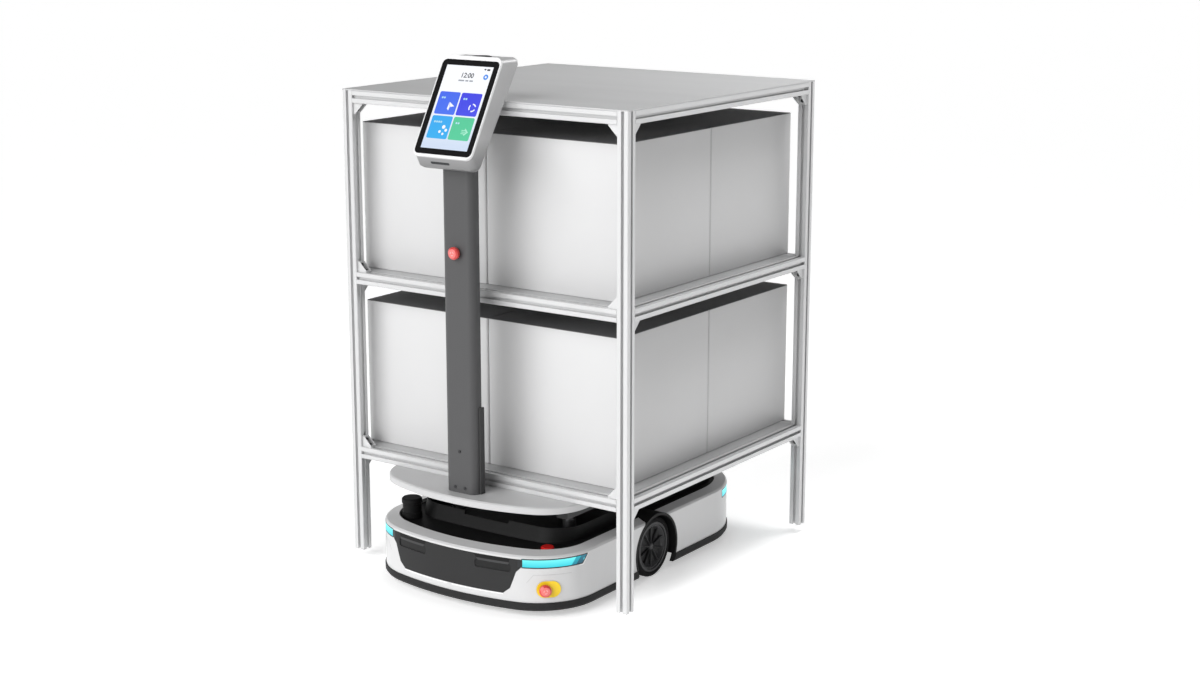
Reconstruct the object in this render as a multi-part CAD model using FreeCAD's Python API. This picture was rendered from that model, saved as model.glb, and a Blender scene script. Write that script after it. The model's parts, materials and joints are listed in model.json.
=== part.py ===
"""Autonomous mobile robot with a lifting deck, a display column and a loaded shelf rack.

Millimetres. Front is -Y, right is +X, up is +Z, and the wheels stand on z = 0.
Every piece is built about the rack's centre line and moved at export, so that the
origin lies under the middle of the whole machine.
"""
import FreeCAD
import Part
import math
import os

# ---------------------------------------------------------------- rack
PROFILE = 30.0            # side of the square slotted profile
SLOT_MOUTH = 8.0          # slot width at the surface
SLOT_LIP = 2.0            # lip thickness beside the mouth
SLOT_WIDTH = 16.0         # slot width behind the lips
SLOT_SHOULDER = 4.5       # depth where the slot starts to narrow
SLOT_DEPTH = 8.3
SLOT_FLOOR = 8.4          # width of the slot's floor
PROFILE_BORE = 7.3
PROFILE_EDGE = 1.2        # bevel on the profile's four edges
RACK_WIDTH = 832.0
RACK_DEPTH = 833.0
RACK_HEIGHT = 1161.0
RACK_GAP = 58.5           # from the robot's column back to the rack's front
RACK_RAISE = 21.0         # legs above the floor while the deck carries the rack
LOW_BEAM_BOTTOM = 241.6   # above the legs' feet
MID_BEAM_BOTTOM = 685.0
PANEL = 3.0               # top panel and shelves
PANEL_GAP = 0.3
BEARER_X = 150.0          # bars under the low shelf that rest on the deck
BEARER_WALL = 2.5
GUSSET_LEG = 27.0
GUSSET_WIDTH = 18.0
GUSSET_WALL = 3.5
GUSSET_SCREW_R = 5.0      # to the head's corners
GUSSET_SCREW_HEAD = 3.0
CLIP_LEG = 18.0
CLIP_LENGTH = 40.0
CLIP_WALL = 2.5
CLIP_INSET = 150.0

# ---------------------------------------------------------------- bins
BIN_RIGHT_GAP = 33.0      # from the right-hand bins to the right posts
BIN_FRONT_GAP = 33.5      # from the front bins to the front posts
BIN_LEFT_GAP = 3.5        # from the front left bins to the rack's left side
BIN_REAR_GAP = 4.0        # from the rear bins to the rack's rear
BIN_POST_GAP = 1.0        # between the rear left bin, which is narrower, and its post
BIN_HEIGHT = 361.0
BIN_WALL = 3.0
BIN_CORNER = 12.0
BIN_GAP = 1.5             # between neighbours
LID = 5.0
LID_GAP = 0.3

# ---------------------------------------------------------------- base shell
SHELL_WALL = 4.0
SHELL_BOTTOM = 37.0
SHELL_EDGE = 146.0        # top of the upright wall
EDGE_BEVEL = 4.0
RIM_TOP = 155.0
BUMPER_BOTTOM = 16.5
BUMPER_PROUD = 2.5
BUMPER_BACK = 12.0
BUMPER_BEVEL = 6.5
BUMPER_TUCK = 2.0
FIT_GAP = 0.3             # between pieces that are fitted into one another
TRAY = 4.0
TUB_WALL = 4.0
TUB_TOP = 181.0
NOTCH_HALF = 67.0
NOTCH_DEPTH = 8.0
PANEL_SKIN = 3.5
PANEL_TOP = 141.0         # front panel: heights and half-widths of its corners
PANEL_TOP_HALF = 192.0
PANEL_WING = 122.0
PANEL_WING_HALF = 193.0
PANEL_WAIST = 110.0
PANEL_WAIST_HALF = 181.0
PANEL_FLANK = 90.0
PANEL_FLANK_HALF = 174.0
PANEL_HIP = 69.0
PANEL_HIP_HALF = 166.0
PANEL_FOOT = 54.5
PANEL_FOOT_HALF = 148.0
WINDOW_SINK = 1.5
WINDOW_SKIN = 2.2
WINDOW_INNER = 74.0
WINDOW_OUTER = 168.0
WINDOW_LOW = 108.0
WINDOW_HIGH = 128.0
WINDOW_CORNER = 6.0
LIGHT_SKIN = 3.6
LIGHT_LOW = 123.0
LIGHT_HIGH = 141.0
LIGHT_INNER = 196.0       # half-width where the front lights start
LIGHT_FRONT_END = -408.0
LIGHT_SLANT = 16.0        # the front lights reach further back at the top
LIGHT_REAR_INNER = 150.0
LIGHT_REAR_END = 205.0

# ---------------------------------------------------------------- chassis and wheels
FRAME_LOW = 108.0
FRAME_PLATE = 4.0
PAN_LOW = 38.0
PAN_PLATE = 3.0
PAN_HALF = 122.0
PAN_FRONT = -470.0
PAN_REAR = 330.0
UPRIGHT = 20.0
UPRIGHT_X = 110.0
BATTERY_HALF = 105.0
BATTERY_FRONT = 60.0
BATTERY_REAR = 300.0
BATTERY_HEIGHT = 62.0
WHEEL_R = 75.0
WHEEL_Y = -110.0
WHEEL_OUTER = 287.0
WHEEL_WIDTH = 40.0
TYRE_DEPTH = 12.0
HUB_BOSS_R = 20.0
HUB_RING = 7.0
HUB_SPOKES = 10
HUB_SPOKE_WIDTH = 6.0
HUB_DISH = 7.0
HUB_WEB = 8.0
SHAFT_R = 8.0
RUNNING_GAP = 0.06        # radial, for every turning or sliding fit
ARCH_R = 92.0
ARCH_Y = -107.5
ARCH_Z = 70.0
LINER_WALL = 6.5
LINER_INNER_X = 233.0
LINER_PROUD = 1.0
MOTOR_R = 32.0
MOTOR_INNER_X = 128.0
CASTER_R = 37.5
CASTER_WIDTH = 24.0
CASTER_TRAIL = 25.0
CASTER_X = 190.0
CASTER_FRONT_Y = -400.0
CASTER_REAR_Y = 235.0
CASTER_AXLE_R = 4.0
CASTER_PLATE = 4.0
CASTER_PLATE_HALF = 32.0
KINGPIN_R = 6.0
FORK_DISC_R = 24.0
FORK_DISC = 5.0
FORK_LEG = 3.0
FORK_SIDE_GAP = 1.5
FORK_TOP_HALF = 18.0
FORK_END_R = 10.0

# ---------------------------------------------------------------- lift and deck
DECK_THICK = 17.0
DECK_SKIN = 3.0
DECK_BEVEL = 3.0
RAIL_OUTER = 232.0
RAIL_WIDTH = 32.0
RAIL_DROP = 35.6          # below the deck's lower edge
RAIL_WALL = 2.5
RAIL_FRONT = -393.0
RAIL_REAR = 290.0
CROSS_FRONT_Y = -300.0
CROSS_MID_Y = -50.0
CROSS_REAR_Y = 200.0
ROD_X = 170.0
ROD_R = 10.0
SLEEVE_R = 16.0
SLEEVE_TOP = 178.0
ROD_BOTTOM = 134.5
JACK_R = 30.0
JACK_TOP = 170.0
RAM_R = 14.0
LIFT_MOTOR_R = 22.0
LIFT_MOTOR_X = 62.0
LIFT_BRIDGE_TOP = 138.0

# ---------------------------------------------------------------- column, head and buttons
COLUMN_HALF = 45.0
COLUMN_FRONT = -503.0
COLUMN_REAR = -475.0
COLUMN_CORNER = 18.0
COLUMN_WALL = 3.0
BRACKET_TOP = 472.0
BRACKET_WALL = 4.0
BRACKET_FRONT = -486.0
SCREW_R = 3.6
SCREW_SHANK_R = 2.2
SCREW_HEAD = 1.8
SCREW_LENGTH = 9.0
SCREW_PAIR_HALF = 14.6
SCREW_PAIR_RISE = 13.5
SCREW_SINGLE_RISE = 101.0
GLASS_WIDTH = 164.0
GLASS_HEIGHT = 234.0
GLASS_THICK = 3.0
GLASS_CORNER = 12.0
GLASS_SINK = 0.6
GLASS_FOOT_Y = -550.7     # lower edge of the glass
GLASS_FOOT_Z = 1068.0
HEAD_TILT = 29.5
HEAD_SIDE = 2.5           # bezel width at the sides
HEAD_CHIN = 7.0
HEAD_JAW = 21.0            # the housing below the glass, where it is deepest
HEAD_JAW_REAR = 19.0
HEAD_BROW = 10.0
HEAD_CORNER = 17.0
HEAD_DEPTH_LOW = 46.0      # at the chin; the back slopes away from the glass
HEAD_DEPTH_HIGH = 62.0     # at the brow
HEAD_STRAIGHT = 22.0
HEAD_EDGE = 8.0            # rounding round the back
BEZEL_DEPTH = 6.0
DISPLAY_SIDE = 15.0        # black border of the glass around the display
DISPLAY_BROW = 14.0
DISPLAY_FOOT = 14.0
DISPLAY_THICK = 1.0
BUTTON_R = 14.5
BUTTON_RISE = 17.0
BUTTON_GAP = 4.6          # under the mushroom: its travel and a little more
STEM_R = 8.0
STEM_LENGTH = 14.0
COLUMN_BUTTON_Z = 837.5
BASE_BUTTON_SHIFT = -9.0   # along the plate, from its middle
PLATE_LENGTH = 57.0
PLATE_HEIGHT = 40.0
PLATE_Z = 70.0
PLATE_ANGLE = -46.1
PLATE_BACK = 5.5
PLATE_PROUD = 0.8
LIDAR_X = -210.5
LIDAR_Y = -432.0
LIDAR_R = 25.0
LIDAR_HEIGHT = 51.0
LENS_X = 205.0
LENS_Y = -436.0
LENS_R = 16.0
LENS_HEIGHT = 6.0


# ---------------------------------------------------------------- plan outlines
SHELL_HALF = 295.3
SHELL_FRONT = -549.2
SHELL_REAR = 385.3
SHELL_FRONT_BOW = 759.0
SHELL_FRONT_CORNER = 157.0
SHELL_REAR_BOW = 625.0
SHELL_REAR_CORNER = 222.9
RIM_HALF = 263.6
RIM_FRONT = -513.0
RIM_REAR = 352.0
RIM_FRONT_BOW = 619.0
RIM_FRONT_CORNER = 114.5
RIM_REAR_BOW = 560.0
RIM_REAR_CORNER = 190.0
TUB_FOOT_HALF = 229.0
TUB_FOOT_FRONT = -417.0
TUB_FOOT_REAR = 303.0
TUB_FOOT_FRONT_BOW = 2400.0
TUB_FOOT_FRONT_CORNER = 78.0
TUB_FOOT_REAR_BOW = 2400.0
TUB_FOOT_REAR_CORNER = 78.0
TUB_LIP_HALF = 229.0
TUB_LIP_FRONT = -404.0
TUB_LIP_REAR = 290.0
TUB_LIP_FRONT_BOW = 5000.0
TUB_LIP_FRONT_CORNER = 78.0
TUB_LIP_REAR_BOW = 5000.0
TUB_LIP_REAR_CORNER = 78.0
DECK_HALF = 280.9
DECK_FRONT = -535.5
DECK_REAR = 371.6
DECK_FRONT_BOW = 595.0
DECK_FRONT_CORNER = 121.7
DECK_REAR_BOW = 595.0
DECK_REAR_CORNER = 121.7


class Plan:
    """A rounded plan outline: bowed front and rear, straight sides, round corners."""

    def __init__(self, half, front, rear, front_bow, front_corner, rear_bow, rear_corner):
        self.half = half
        self.front = front
        self.rear = rear
        self.front_bow = front_bow
        self.front_corner = front_corner
        self.rear_bow = rear_bow
        self.rear_corner = rear_corner

    def corner(self, inset, side):
        """Corner centre, tangent angle and radii at the front (side -1) or rear (side 1)."""
        bow = (self.front_bow if side < 0 else self.rear_bow) - inset
        corner = (self.front_corner if side < 0 else self.rear_corner) - inset
        edge = (self.front + inset) if side < 0 else (self.rear - inset)
        half = self.half - inset
        x = half - corner
        reach = math.sqrt((bow - corner) ** 2 - x ** 2)
        centre = edge - side * bow
        return x, centre + side * reach, centre, bow, corner, math.atan2(side * reach, x)



SHELL_PLAN = Plan(SHELL_HALF, SHELL_FRONT, SHELL_REAR, SHELL_FRONT_BOW, SHELL_FRONT_CORNER,
                  SHELL_REAR_BOW, SHELL_REAR_CORNER)
RIM_PLAN = Plan(RIM_HALF, RIM_FRONT, RIM_REAR, RIM_FRONT_BOW, RIM_FRONT_CORNER,
                RIM_REAR_BOW, RIM_REAR_CORNER)
TUB_FOOT_PLAN = Plan(TUB_FOOT_HALF, TUB_FOOT_FRONT, TUB_FOOT_REAR, TUB_FOOT_FRONT_BOW, TUB_FOOT_FRONT_CORNER,
                     TUB_FOOT_REAR_BOW, TUB_FOOT_REAR_CORNER)
TUB_LIP_PLAN = Plan(TUB_LIP_HALF, TUB_LIP_FRONT, TUB_LIP_REAR, TUB_LIP_FRONT_BOW, TUB_LIP_FRONT_CORNER,
                    TUB_LIP_REAR_BOW, TUB_LIP_REAR_CORNER)
DECK_PLAN = Plan(DECK_HALF, DECK_FRONT, DECK_REAR, DECK_FRONT_BOW, DECK_FRONT_CORNER,
                 DECK_REAR_BOW, DECK_REAR_CORNER)

# sizes that follow from the ones above
HALF_W = RACK_WIDTH / 2
HALF_D = RACK_DEPTH / 2
INNER_W = HALF_W - PROFILE
INNER_D = HALF_D - PROFILE
BIN_RIGHT = INNER_W - BIN_RIGHT_GAP
BIN_FRONT = BIN_FRONT_GAP - INNER_D
BIN_WIDTH = (BIN_RIGHT + HALF_W - BIN_LEFT_GAP - BIN_GAP) / 2
BIN_LENGTH = (HALF_D - BIN_REAR_GAP - BIN_FRONT - BIN_GAP) / 2
LEG_FOOT = RACK_RAISE
RACK_TOP = LEG_FOOT + RACK_HEIGHT
POST_TOP = RACK_TOP - PANEL
LOW_Z = LEG_FOOT + LOW_BEAM_BOTTOM
MID_Z = LEG_FOOT + MID_BEAM_BOTTOM
TOP_Z = POST_TOP - PROFILE
LOW_SHELF_TOP = LOW_Z + PROFILE
MID_SHELF_TOP = MID_Z + PROFILE
DECK_TOP = LOW_Z
DECK_LOW = DECK_TOP - DECK_THICK
SKIN_UNDER = DECK_TOP - DECK_SKIN
RAIL_LOW = DECK_LOW - RAIL_DROP
TRAY_TOP = SHELL_EDGE
TRAY_LOW = TRAY_TOP - TRAY
FRAME_TOP = FRAME_LOW + FRAME_PLATE
PAN_TOP = PAN_LOW + PAN_PLATE
WHEEL_INNER = WHEEL_OUTER - WHEEL_WIDTH
HUB_R = WHEEL_R - TYRE_DEPTH
TILT = math.radians(HEAD_TILT)
BACK_SLOPE = (HEAD_DEPTH_HIGH - HEAD_DEPTH_LOW) / (GLASS_HEIGHT + HEAD_BROW + HEAD_JAW)
ROBOT_SHIFT = -COLUMN_REAR - RACK_GAP - HALF_D
FRONT_REACH = HEAD_CHIN * math.sin(TILT) - GLASS_FOOT_Y - ROBOT_SHIFT
ORIGIN_SHIFT = (FRONT_REACH - HALF_D) / 2

DISPLAY_WIDTH = GLASS_WIDTH - 2 * DISPLAY_SIDE
DISPLAY_HEIGHT = GLASS_HEIGHT - DISPLAY_BROW - DISPLAY_FOOT

V = FreeCAD.Vector
X_AXIS = V(1, 0, 0)
Y_AXIS = V(0, 1, 0)
Z_AXIS = V(0, 0, 1)


# ---------------------------------------------------------------- small helpers
def box(x0, x1, y0, y1, z0, z1):
    return Part.makeBox(x1 - x0, y1 - y0, z1 - z0, V(x0, y0, z0))


def rod(radius, start, axis, length):
    return Part.makeCylinder(radius, length, start, axis)


def tube(outer, inner, start, axis, length):
    return rod(outer, start, axis, length).cut(rod(inner, start, axis, length))


def polygon_prism(points, sweep):
    return Part.Face(Part.makePolygon(points + points[:1])).extrude(sweep)


def rounded_wire(half_w, low, high, corner, y):
    """A round-cornered rectangle in the plane of that y, standing between low and high."""
    k = corner * (1 - math.sqrt(0.5))
    w = half_w
    c = corner
    runs = [
        (V(-w + c, y, low), V(w - c, y, low), V(w - k, y, low + k), V(w, y, low + c)),
        (V(w, y, low + c), V(w, y, high - c), V(w - k, y, high - k), V(w - c, y, high)),
        (V(w - c, y, high), V(-w + c, y, high), V(-w + k, y, high - k), V(-w, y, high - c)),
        (V(-w, y, high - c), V(-w, y, low + c), V(-w + k, y, low + k), V(-w + c, y, low)),
    ]
    edges = []
    for start, end, middle, finish in runs:
        edges.append(Part.makeLine(start, end))
        edges.append(Part.Arc(end, middle, finish).toShape())
    return Part.Wire(edges)


def rounded_plate(half_w, low, high, corner, y0, y1):
    return Part.Face(rounded_wire(half_w, low, high, corner, y0)).extrude(V(0, y1 - y0, 0))


def rounded_block(x0, x1, y0, y1, z0, z1, corner):
    """An upright block with round vertical corners."""
    block = box(x0, x1, y0, y1, z0, z1)
    upright = [e for e in block.Edges if abs(e.tangentAt(e.FirstParameter).z) > 0.9]
    return block.makeFillet(corner, upright)


def plan_wire(plan, inset, z):
    halves = []
    for side in (-1, 1):
        x, y, centre, bow, corner, angle = plan.corner(inset, side)
        tangent = V(bow * math.cos(angle), centre + bow * math.sin(angle), z)
        middle = V(x + corner * math.cos(angle / 2), y + corner * math.sin(angle / 2), z)
        halves.append((tangent, middle, V(x + corner, y, z)))
    mirror = [[V(-p.x, p.y, z) for p in half] for half in halves]
    (f_tan, f_mid, f_side), (r_tan, r_mid, r_side) = halves
    (g_tan, g_mid, g_side), (s_tan, s_mid, s_side) = mirror
    return Part.Wire([
        Part.Arc(g_tan, V(0, plan.front + inset, z), f_tan).toShape(),
        Part.Arc(f_tan, f_mid, f_side).toShape(),
        Part.makeLine(f_side, r_side),
        Part.Arc(r_side, r_mid, r_tan).toShape(),
        Part.Arc(r_tan, V(0, plan.rear - inset, z), s_tan).toShape(),
        Part.Arc(s_tan, s_mid, s_side).toShape(),
        Part.makeLine(s_side, g_side),
        Part.Arc(g_side, g_mid, g_tan).toShape(),
    ])


def plan_block(plan, inset, z0, z1):
    return Part.Face(plan_wire(plan, inset, z0)).extrude(V(0, 0, z1 - z0))


def plan_loft(low, low_inset, z0, high, high_inset, z1):
    wires = [plan_wire(low, low_inset, z0), plan_wire(high, high_inset, z1)]
    return Part.makeLoft(wires, True, True)


def both_sides(shape):
    return [shape, shape.mirror(V(0, 0, 0), X_AXIS)]


def pattern(shape, places):
    copies = []
    for place in places:
        copy = shape.copy()
        copy.translate(V(*place))
        copies.append(copy)
    return copies


# ---------------------------------------------------------------- rack
def profile_face(bored):
    """Cross-section of the slotted profile, in the XY plane about its centre."""
    half = PROFILE / 2
    mouth = SLOT_MOUTH / 2
    wide = SLOT_WIDTH / 2
    floor = SLOT_FLOOR / 2
    side = [
        (-half + PROFILE_EDGE, half), (-mouth, half), (-mouth, half - SLOT_LIP),
        (-wide, half - SLOT_LIP), (-wide, half - SLOT_SHOULDER), (-floor, half - SLOT_DEPTH),
        (floor, half - SLOT_DEPTH), (wide, half - SLOT_SHOULDER), (wide, half - SLOT_LIP),
        (mouth, half - SLOT_LIP), (mouth, half), (half - PROFILE_EDGE, half),
    ]
    points = []
    for quarter in range(4):
        turn = -quarter * math.pi / 2
        c, s = math.cos(turn), math.sin(turn)
        points += [V(x * c - y * s, x * s + y * c, 0) for x, y in side]
    face = Part.Face(Part.makePolygon(points + points[:1]))
    if not bored:
        return face
    return face.cut(Part.Face(Part.Wire(Part.makeCircle(PROFILE_BORE / 2, V(0, 0, 0)))))


def profile_bar(start, axis, length, bored=False):
    """A bar of profile. Only the posts show their open ends, so only they are bored."""
    bar = profile_face(bored).extrude(V(0, 0, length))
    if axis == X_AXIS:
        bar.rotate(V(0, 0, 0), Y_AXIS, 90)
    if axis == Y_AXIS:
        bar.rotate(V(0, 0, 0), X_AXIS, -90)
    bar.translate(start)
    return bar


def posts():
    names = {}
    half = PROFILE / 2
    for y, row in ((-HALF_D + half, "front"), (HALF_D - half, "rear")):
        for x, hand in ((-HALF_W + half, "left"), (HALF_W - half, "right")):
            start = V(x, y, LEG_FOOT)
            bar = profile_bar(start, Z_AXIS, POST_TOP - LEG_FOOT, bored=True)
            names["post_%s_%s" % (row, hand)] = bar
    return names


def beam_ring(z):
    """Two cross beams and two side beams at one level."""
    half = PROFILE / 2
    bars = []
    for y in (-HALF_D + half, HALF_D - half):
        bars.append(profile_bar(V(-INNER_W, y, z + half), X_AXIS, 2 * INNER_W))
    for x in (-HALF_W + half, HALF_W - half):
        bars.append(profile_bar(V(x, -INNER_D, z + half), Y_AXIS, 2 * INNER_D))
    return bars


def bearers():
    """Box bars under the low shelf, which rest on the deck."""
    half = PROFILE / 2
    high = LOW_SHELF_TOP - PANEL
    w = BEARER_WALL
    bars = []
    for x in (-BEARER_X, BEARER_X):
        outer = box(x - half, x + half, -INNER_D, INNER_D, LOW_Z, high)
        bore = box(x - half + w, x + half - w, -INNER_D, INNER_D, LOW_Z + w, high - w)
        bars.append(outer.cut(bore))
    return bars


def shelf(top):
    x = INNER_W - PANEL_GAP
    y = INNER_D - PANEL_GAP
    return box(-x, x, -y, y, top - PANEL, top)


def top_panel():
    return box(-HALF_W, HALF_W, -HALF_D, HALF_D, POST_TOP, RACK_TOP)


def gusset():
    """A cast corner angle with two side webs; its corner is the origin, legs along +X and +Z."""
    half = GUSSET_WIDTH / 2
    wall = GUSSET_WALL
    leg = GUSSET_LEG
    foot = box(0, leg, -half, half, 0, wall)
    back = box(0, wall, -half, half, 0, leg)
    corner = [V(wall, -half, wall), V(leg, -half, wall), V(wall, -half, leg)]
    web = polygon_prism(corner, V(0, wall / 2, 0))
    other = web.mirror(V(0, 0, 0), Y_AXIS)
    return foot.fuse([back, web, other]).removeSplitter()


def gusset_places():
    """Each gusset's corner, turn about Z and whether it hangs under its beam."""
    places = []
    half = PROFILE / 2
    for low in (LOW_Z, MID_Z, TOP_Z):
        for sx in (-1, 1):
            for sy in (-1, 1):
                hangs = low == TOP_Z or sy > 0
                z = low if hangs else low + PROFILE
                turn = 0 if sx < 0 else 180
                places.append((V(sx * INNER_W, sy * (HALF_D - half), z), turn, hangs))
                turn = 90 if sy < 0 else -90
                places.append((V(sx * (HALF_W - half), sy * INNER_D, low), turn, True))
    return places


def place_gusset(shape, place):
    corner, turn, hangs = place
    copy = shape.mirror(V(0, 0, 0), Z_AXIS) if hangs else shape.copy()
    copy.rotate(V(0, 0, 0), Z_AXIS, turn)
    copy.translate(corner)
    return copy


def gusset_screws():
    """One hexagon-head screw in each leg of a gusset."""
    middle = (GUSSET_LEG + GUSSET_WALL) / 2 + 1
    corners = [math.radians(60 * n) for n in range(6)]
    ring = [V(GUSSET_SCREW_R * math.cos(a), GUSSET_SCREW_R * math.sin(a), 0) for a in corners]
    down = polygon_prism(ring, V(0, 0, GUSSET_SCREW_HEAD))
    side = down.copy()
    side.rotate(V(0, 0, 0), Y_AXIS, 90)
    down.translate(V(middle, 0, GUSSET_WALL))
    side.translate(V(GUSSET_WALL, 0, middle))
    return Part.makeCompound([down, side])


def shelf_clips():
    """Angles on the beams' inner faces that carry the shelf panels."""
    w = CLIP_WALL
    leg = CLIP_LEG
    run = CLIP_LENGTH
    clips = []
    for top in (LOW_SHELF_TOP - PANEL, MID_SHELF_TOP - PANEL):
        for turn, reach, along in ((0, INNER_W, INNER_D), (90, INNER_D, INNER_W)):
            for flip in (0, 180):
                for place in (-along + CLIP_INSET, along - CLIP_INSET - run):
                    lip = box(reach - leg, reach, place, place + run, top - w, top)
                    wall = box(reach - w, reach, place, place + run, top - leg, top - w)
                    clip = lip.fuse(wall).removeSplitter()
                    clip.rotate(V(0, 0, 0), Z_AXIS, turn + flip)
                    clips.append(clip)
    return clips


# ---------------------------------------------------------------- bins
def bin_box(x0, x1, y0, z):
    """A tote with a flat lid let into its mouth, from its low front edge."""
    y1 = y0 + BIN_LENGTH
    top = z + BIN_HEIGHT
    lid_low = top - LID

    def layer(inset, low, high):
        corner = max(BIN_CORNER - inset, BIN_WALL)
        return rounded_block(x0 + inset, x1 - inset, y0 + inset, y1 - inset, low, high, corner)

    tote = layer(0, z, top).cut(layer(BIN_WALL, z + BIN_WALL, top))
    return Part.makeCompound([tote, layer(BIN_WALL + LID_GAP, lid_low, top)])


def bins():
    """Two by two on each shelf; the rear left one stops short of its post."""
    seam = BIN_RIGHT - BIN_WIDTH - BIN_GAP
    rear = BIN_FRONT + BIN_LENGTH + BIN_GAP
    short = -INNER_W + BIN_POST_GAP
    named = {}
    for level, z in (("low", LOW_SHELF_TOP), ("high", MID_SHELF_TOP)):
        for row, y, left in (("front", BIN_FRONT, seam - BIN_WIDTH), ("rear", rear, short)):
            named["bin_%s_%s_left" % (level, row)] = bin_box(left, seam, y, z)
            named["bin_%s_%s_right" % (level, row)] = bin_box(seam + BIN_GAP, BIN_RIGHT, y, z)
    return named


# ---------------------------------------------------------------- base shell
def arch_cut(extra):
    """Both wheel arches, as far in as the liners reach."""
    start = V(LINER_INNER_X - extra, ARCH_Y, ARCH_Z)
    reach = SHELL_PLAN.half + 2 * BUMPER_PROUD - start.x
    return Part.makeCompound(both_sides(rod(ARCH_R + extra, start, X_AXIS, reach)))


def panel_outline(gap):
    """Half-width and height of the front panel's corners, from the top down."""
    return [
        (PANEL_TOP_HALF + gap, PANEL_TOP + gap), (PANEL_WING_HALF + gap, PANEL_WING - gap),
        (PANEL_WAIST_HALF + gap, PANEL_WAIST - gap), (PANEL_FLANK_HALF + gap, PANEL_FLANK),
        (PANEL_HIP_HALF + gap, PANEL_HIP), (PANEL_FOOT_HALF + gap, PANEL_FOOT - gap),
    ]


def panel_prism(gap):
    right = panel_outline(gap)
    y = SHELL_PLAN.front - BUMPER_PROUD
    depth = SHELL_WALL + 60
    points = [V(x, y, z) for x, z in right] + [V(-x, y, z) for x, z in reversed(right)]
    return polygon_prism(points, V(0, depth, 0))


def window_prisms(gap):
    middle = (WINDOW_INNER + WINDOW_OUTER) / 2
    half = (WINDOW_OUTER - WINDOW_INNER) / 2 + gap
    y = SHELL_PLAN.front - BUMPER_PROUD
    slot = rounded_plate(half, WINDOW_LOW - gap, WINDOW_HIGH + gap, WINDOW_CORNER, y, y + 60)
    slot.translate(V(middle, 0, 0))
    return Part.makeCompound(both_sides(slot))


def wall_band(outer, inner, z0, z1):
    """The part of the shell wall between two insets and two heights."""
    return plan_block(SHELL_PLAN, outer, z0, z1).cut(plan_block(SHELL_PLAN, inner, z0, z1))


def light_zones(gap):
    """Four blocks that hold the light strips at the corners."""
    far = SHELL_PLAN.half + 10
    inner = LIGHT_INNER - gap
    ahead = SHELL_PLAN.front - 10
    low = LIGHT_LOW - gap
    high = LIGHT_HIGH + gap
    end = LIGHT_FRONT_END + gap
    section = [(ahead, low), (end - LIGHT_SLANT / 2, low), (end + LIGHT_SLANT / 2, high),
               (ahead, high)]
    front = polygon_prism([V(inner, y, z) for y, z in section], V(far - inner, 0, 0))
    rear = box(LIGHT_REAR_INNER - gap, far, LIGHT_REAR_END - gap, SHELL_PLAN.rear + 10,
               LIGHT_LOW - gap, LIGHT_HIGH + gap)
    return Part.makeCompound(both_sides(front) + both_sides(rear))


def corner_place(shape):
    """Moves a piece built about (0, 0, 0), facing -Y, onto the shell's front right corner."""
    x, y, centre, bow, corner, angle = SHELL_PLAN.corner(0, -1)
    turn = math.radians(PLATE_ANGLE)
    shape.rotate(V(0, 0, 0), Z_AXIS, PLATE_ANGLE + 90)
    shape.translate(V(x + corner * math.cos(turn), y + corner * math.sin(turn), PLATE_Z))
    return shape


def stop_plate_block(gap, front, back):
    half = PLATE_LENGTH / 2 + gap
    high = PLATE_HEIGHT / 2 + gap
    return rounded_plate(half, -high, high, high - 0.01, front, back)


def outer_shell():
    body = plan_block(SHELL_PLAN, 0, SHELL_BOTTOM, SHELL_EDGE)
    bevel_top = SHELL_EDGE + EDGE_BEVEL
    body = body.fuse(plan_loft(SHELL_PLAN, 0, SHELL_EDGE, SHELL_PLAN, EDGE_BEVEL, bevel_top))
    body = body.fuse(plan_loft(SHELL_PLAN, EDGE_BEVEL, bevel_top, RIM_PLAN, 0, RIM_TOP))
    body = body.cut(plan_block(SHELL_PLAN, SHELL_WALL, SHELL_BOTTOM, SHELL_EDGE))
    body = body.cut(plan_block(RIM_PLAN, 0, SHELL_EDGE, RIM_TOP))
    body = body.cut(arch_cut(0))
    body = body.cut(panel_prism(FIT_GAP))
    body = body.cut(light_zones(FIT_GAP))
    body = body.cut(corner_place(stop_plate_block(FIT_GAP, -10, 12)))
    return body


def front_panel():
    low = panel_outline(0)[-1][1]
    high = panel_outline(0)[0][1]
    skin = wall_band(0, PANEL_SKIN, low, high).common(panel_prism(0))
    return skin.cut(window_prisms(0))


def camera_windows():
    skin = wall_band(WINDOW_SINK, WINDOW_SINK + WINDOW_SKIN, WINDOW_LOW, WINDOW_HIGH)
    return skin.common(window_prisms(-FIT_GAP))


def light_strips():
    skin = wall_band(0, LIGHT_SKIN, LIGHT_LOW, LIGHT_HIGH)
    return skin.common(light_zones(0))


def bumper():
    top = BUMPER_BOTTOM + BUMPER_BEVEL
    ring = plan_loft(SHELL_PLAN, BUMPER_TUCK, BUMPER_BOTTOM, SHELL_PLAN, -BUMPER_PROUD, top)
    ring = ring.fuse(plan_block(SHELL_PLAN, -BUMPER_PROUD, top, SHELL_BOTTOM))
    ring = ring.cut(plan_block(SHELL_PLAN, BUMPER_BACK, BUMPER_BOTTOM, SHELL_BOTTOM))
    halves = ring.cut(arch_cut(0)).Solids
    front, rear = sorted(halves, key=lambda s: s.CenterOfMass.y)
    return front, rear


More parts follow.
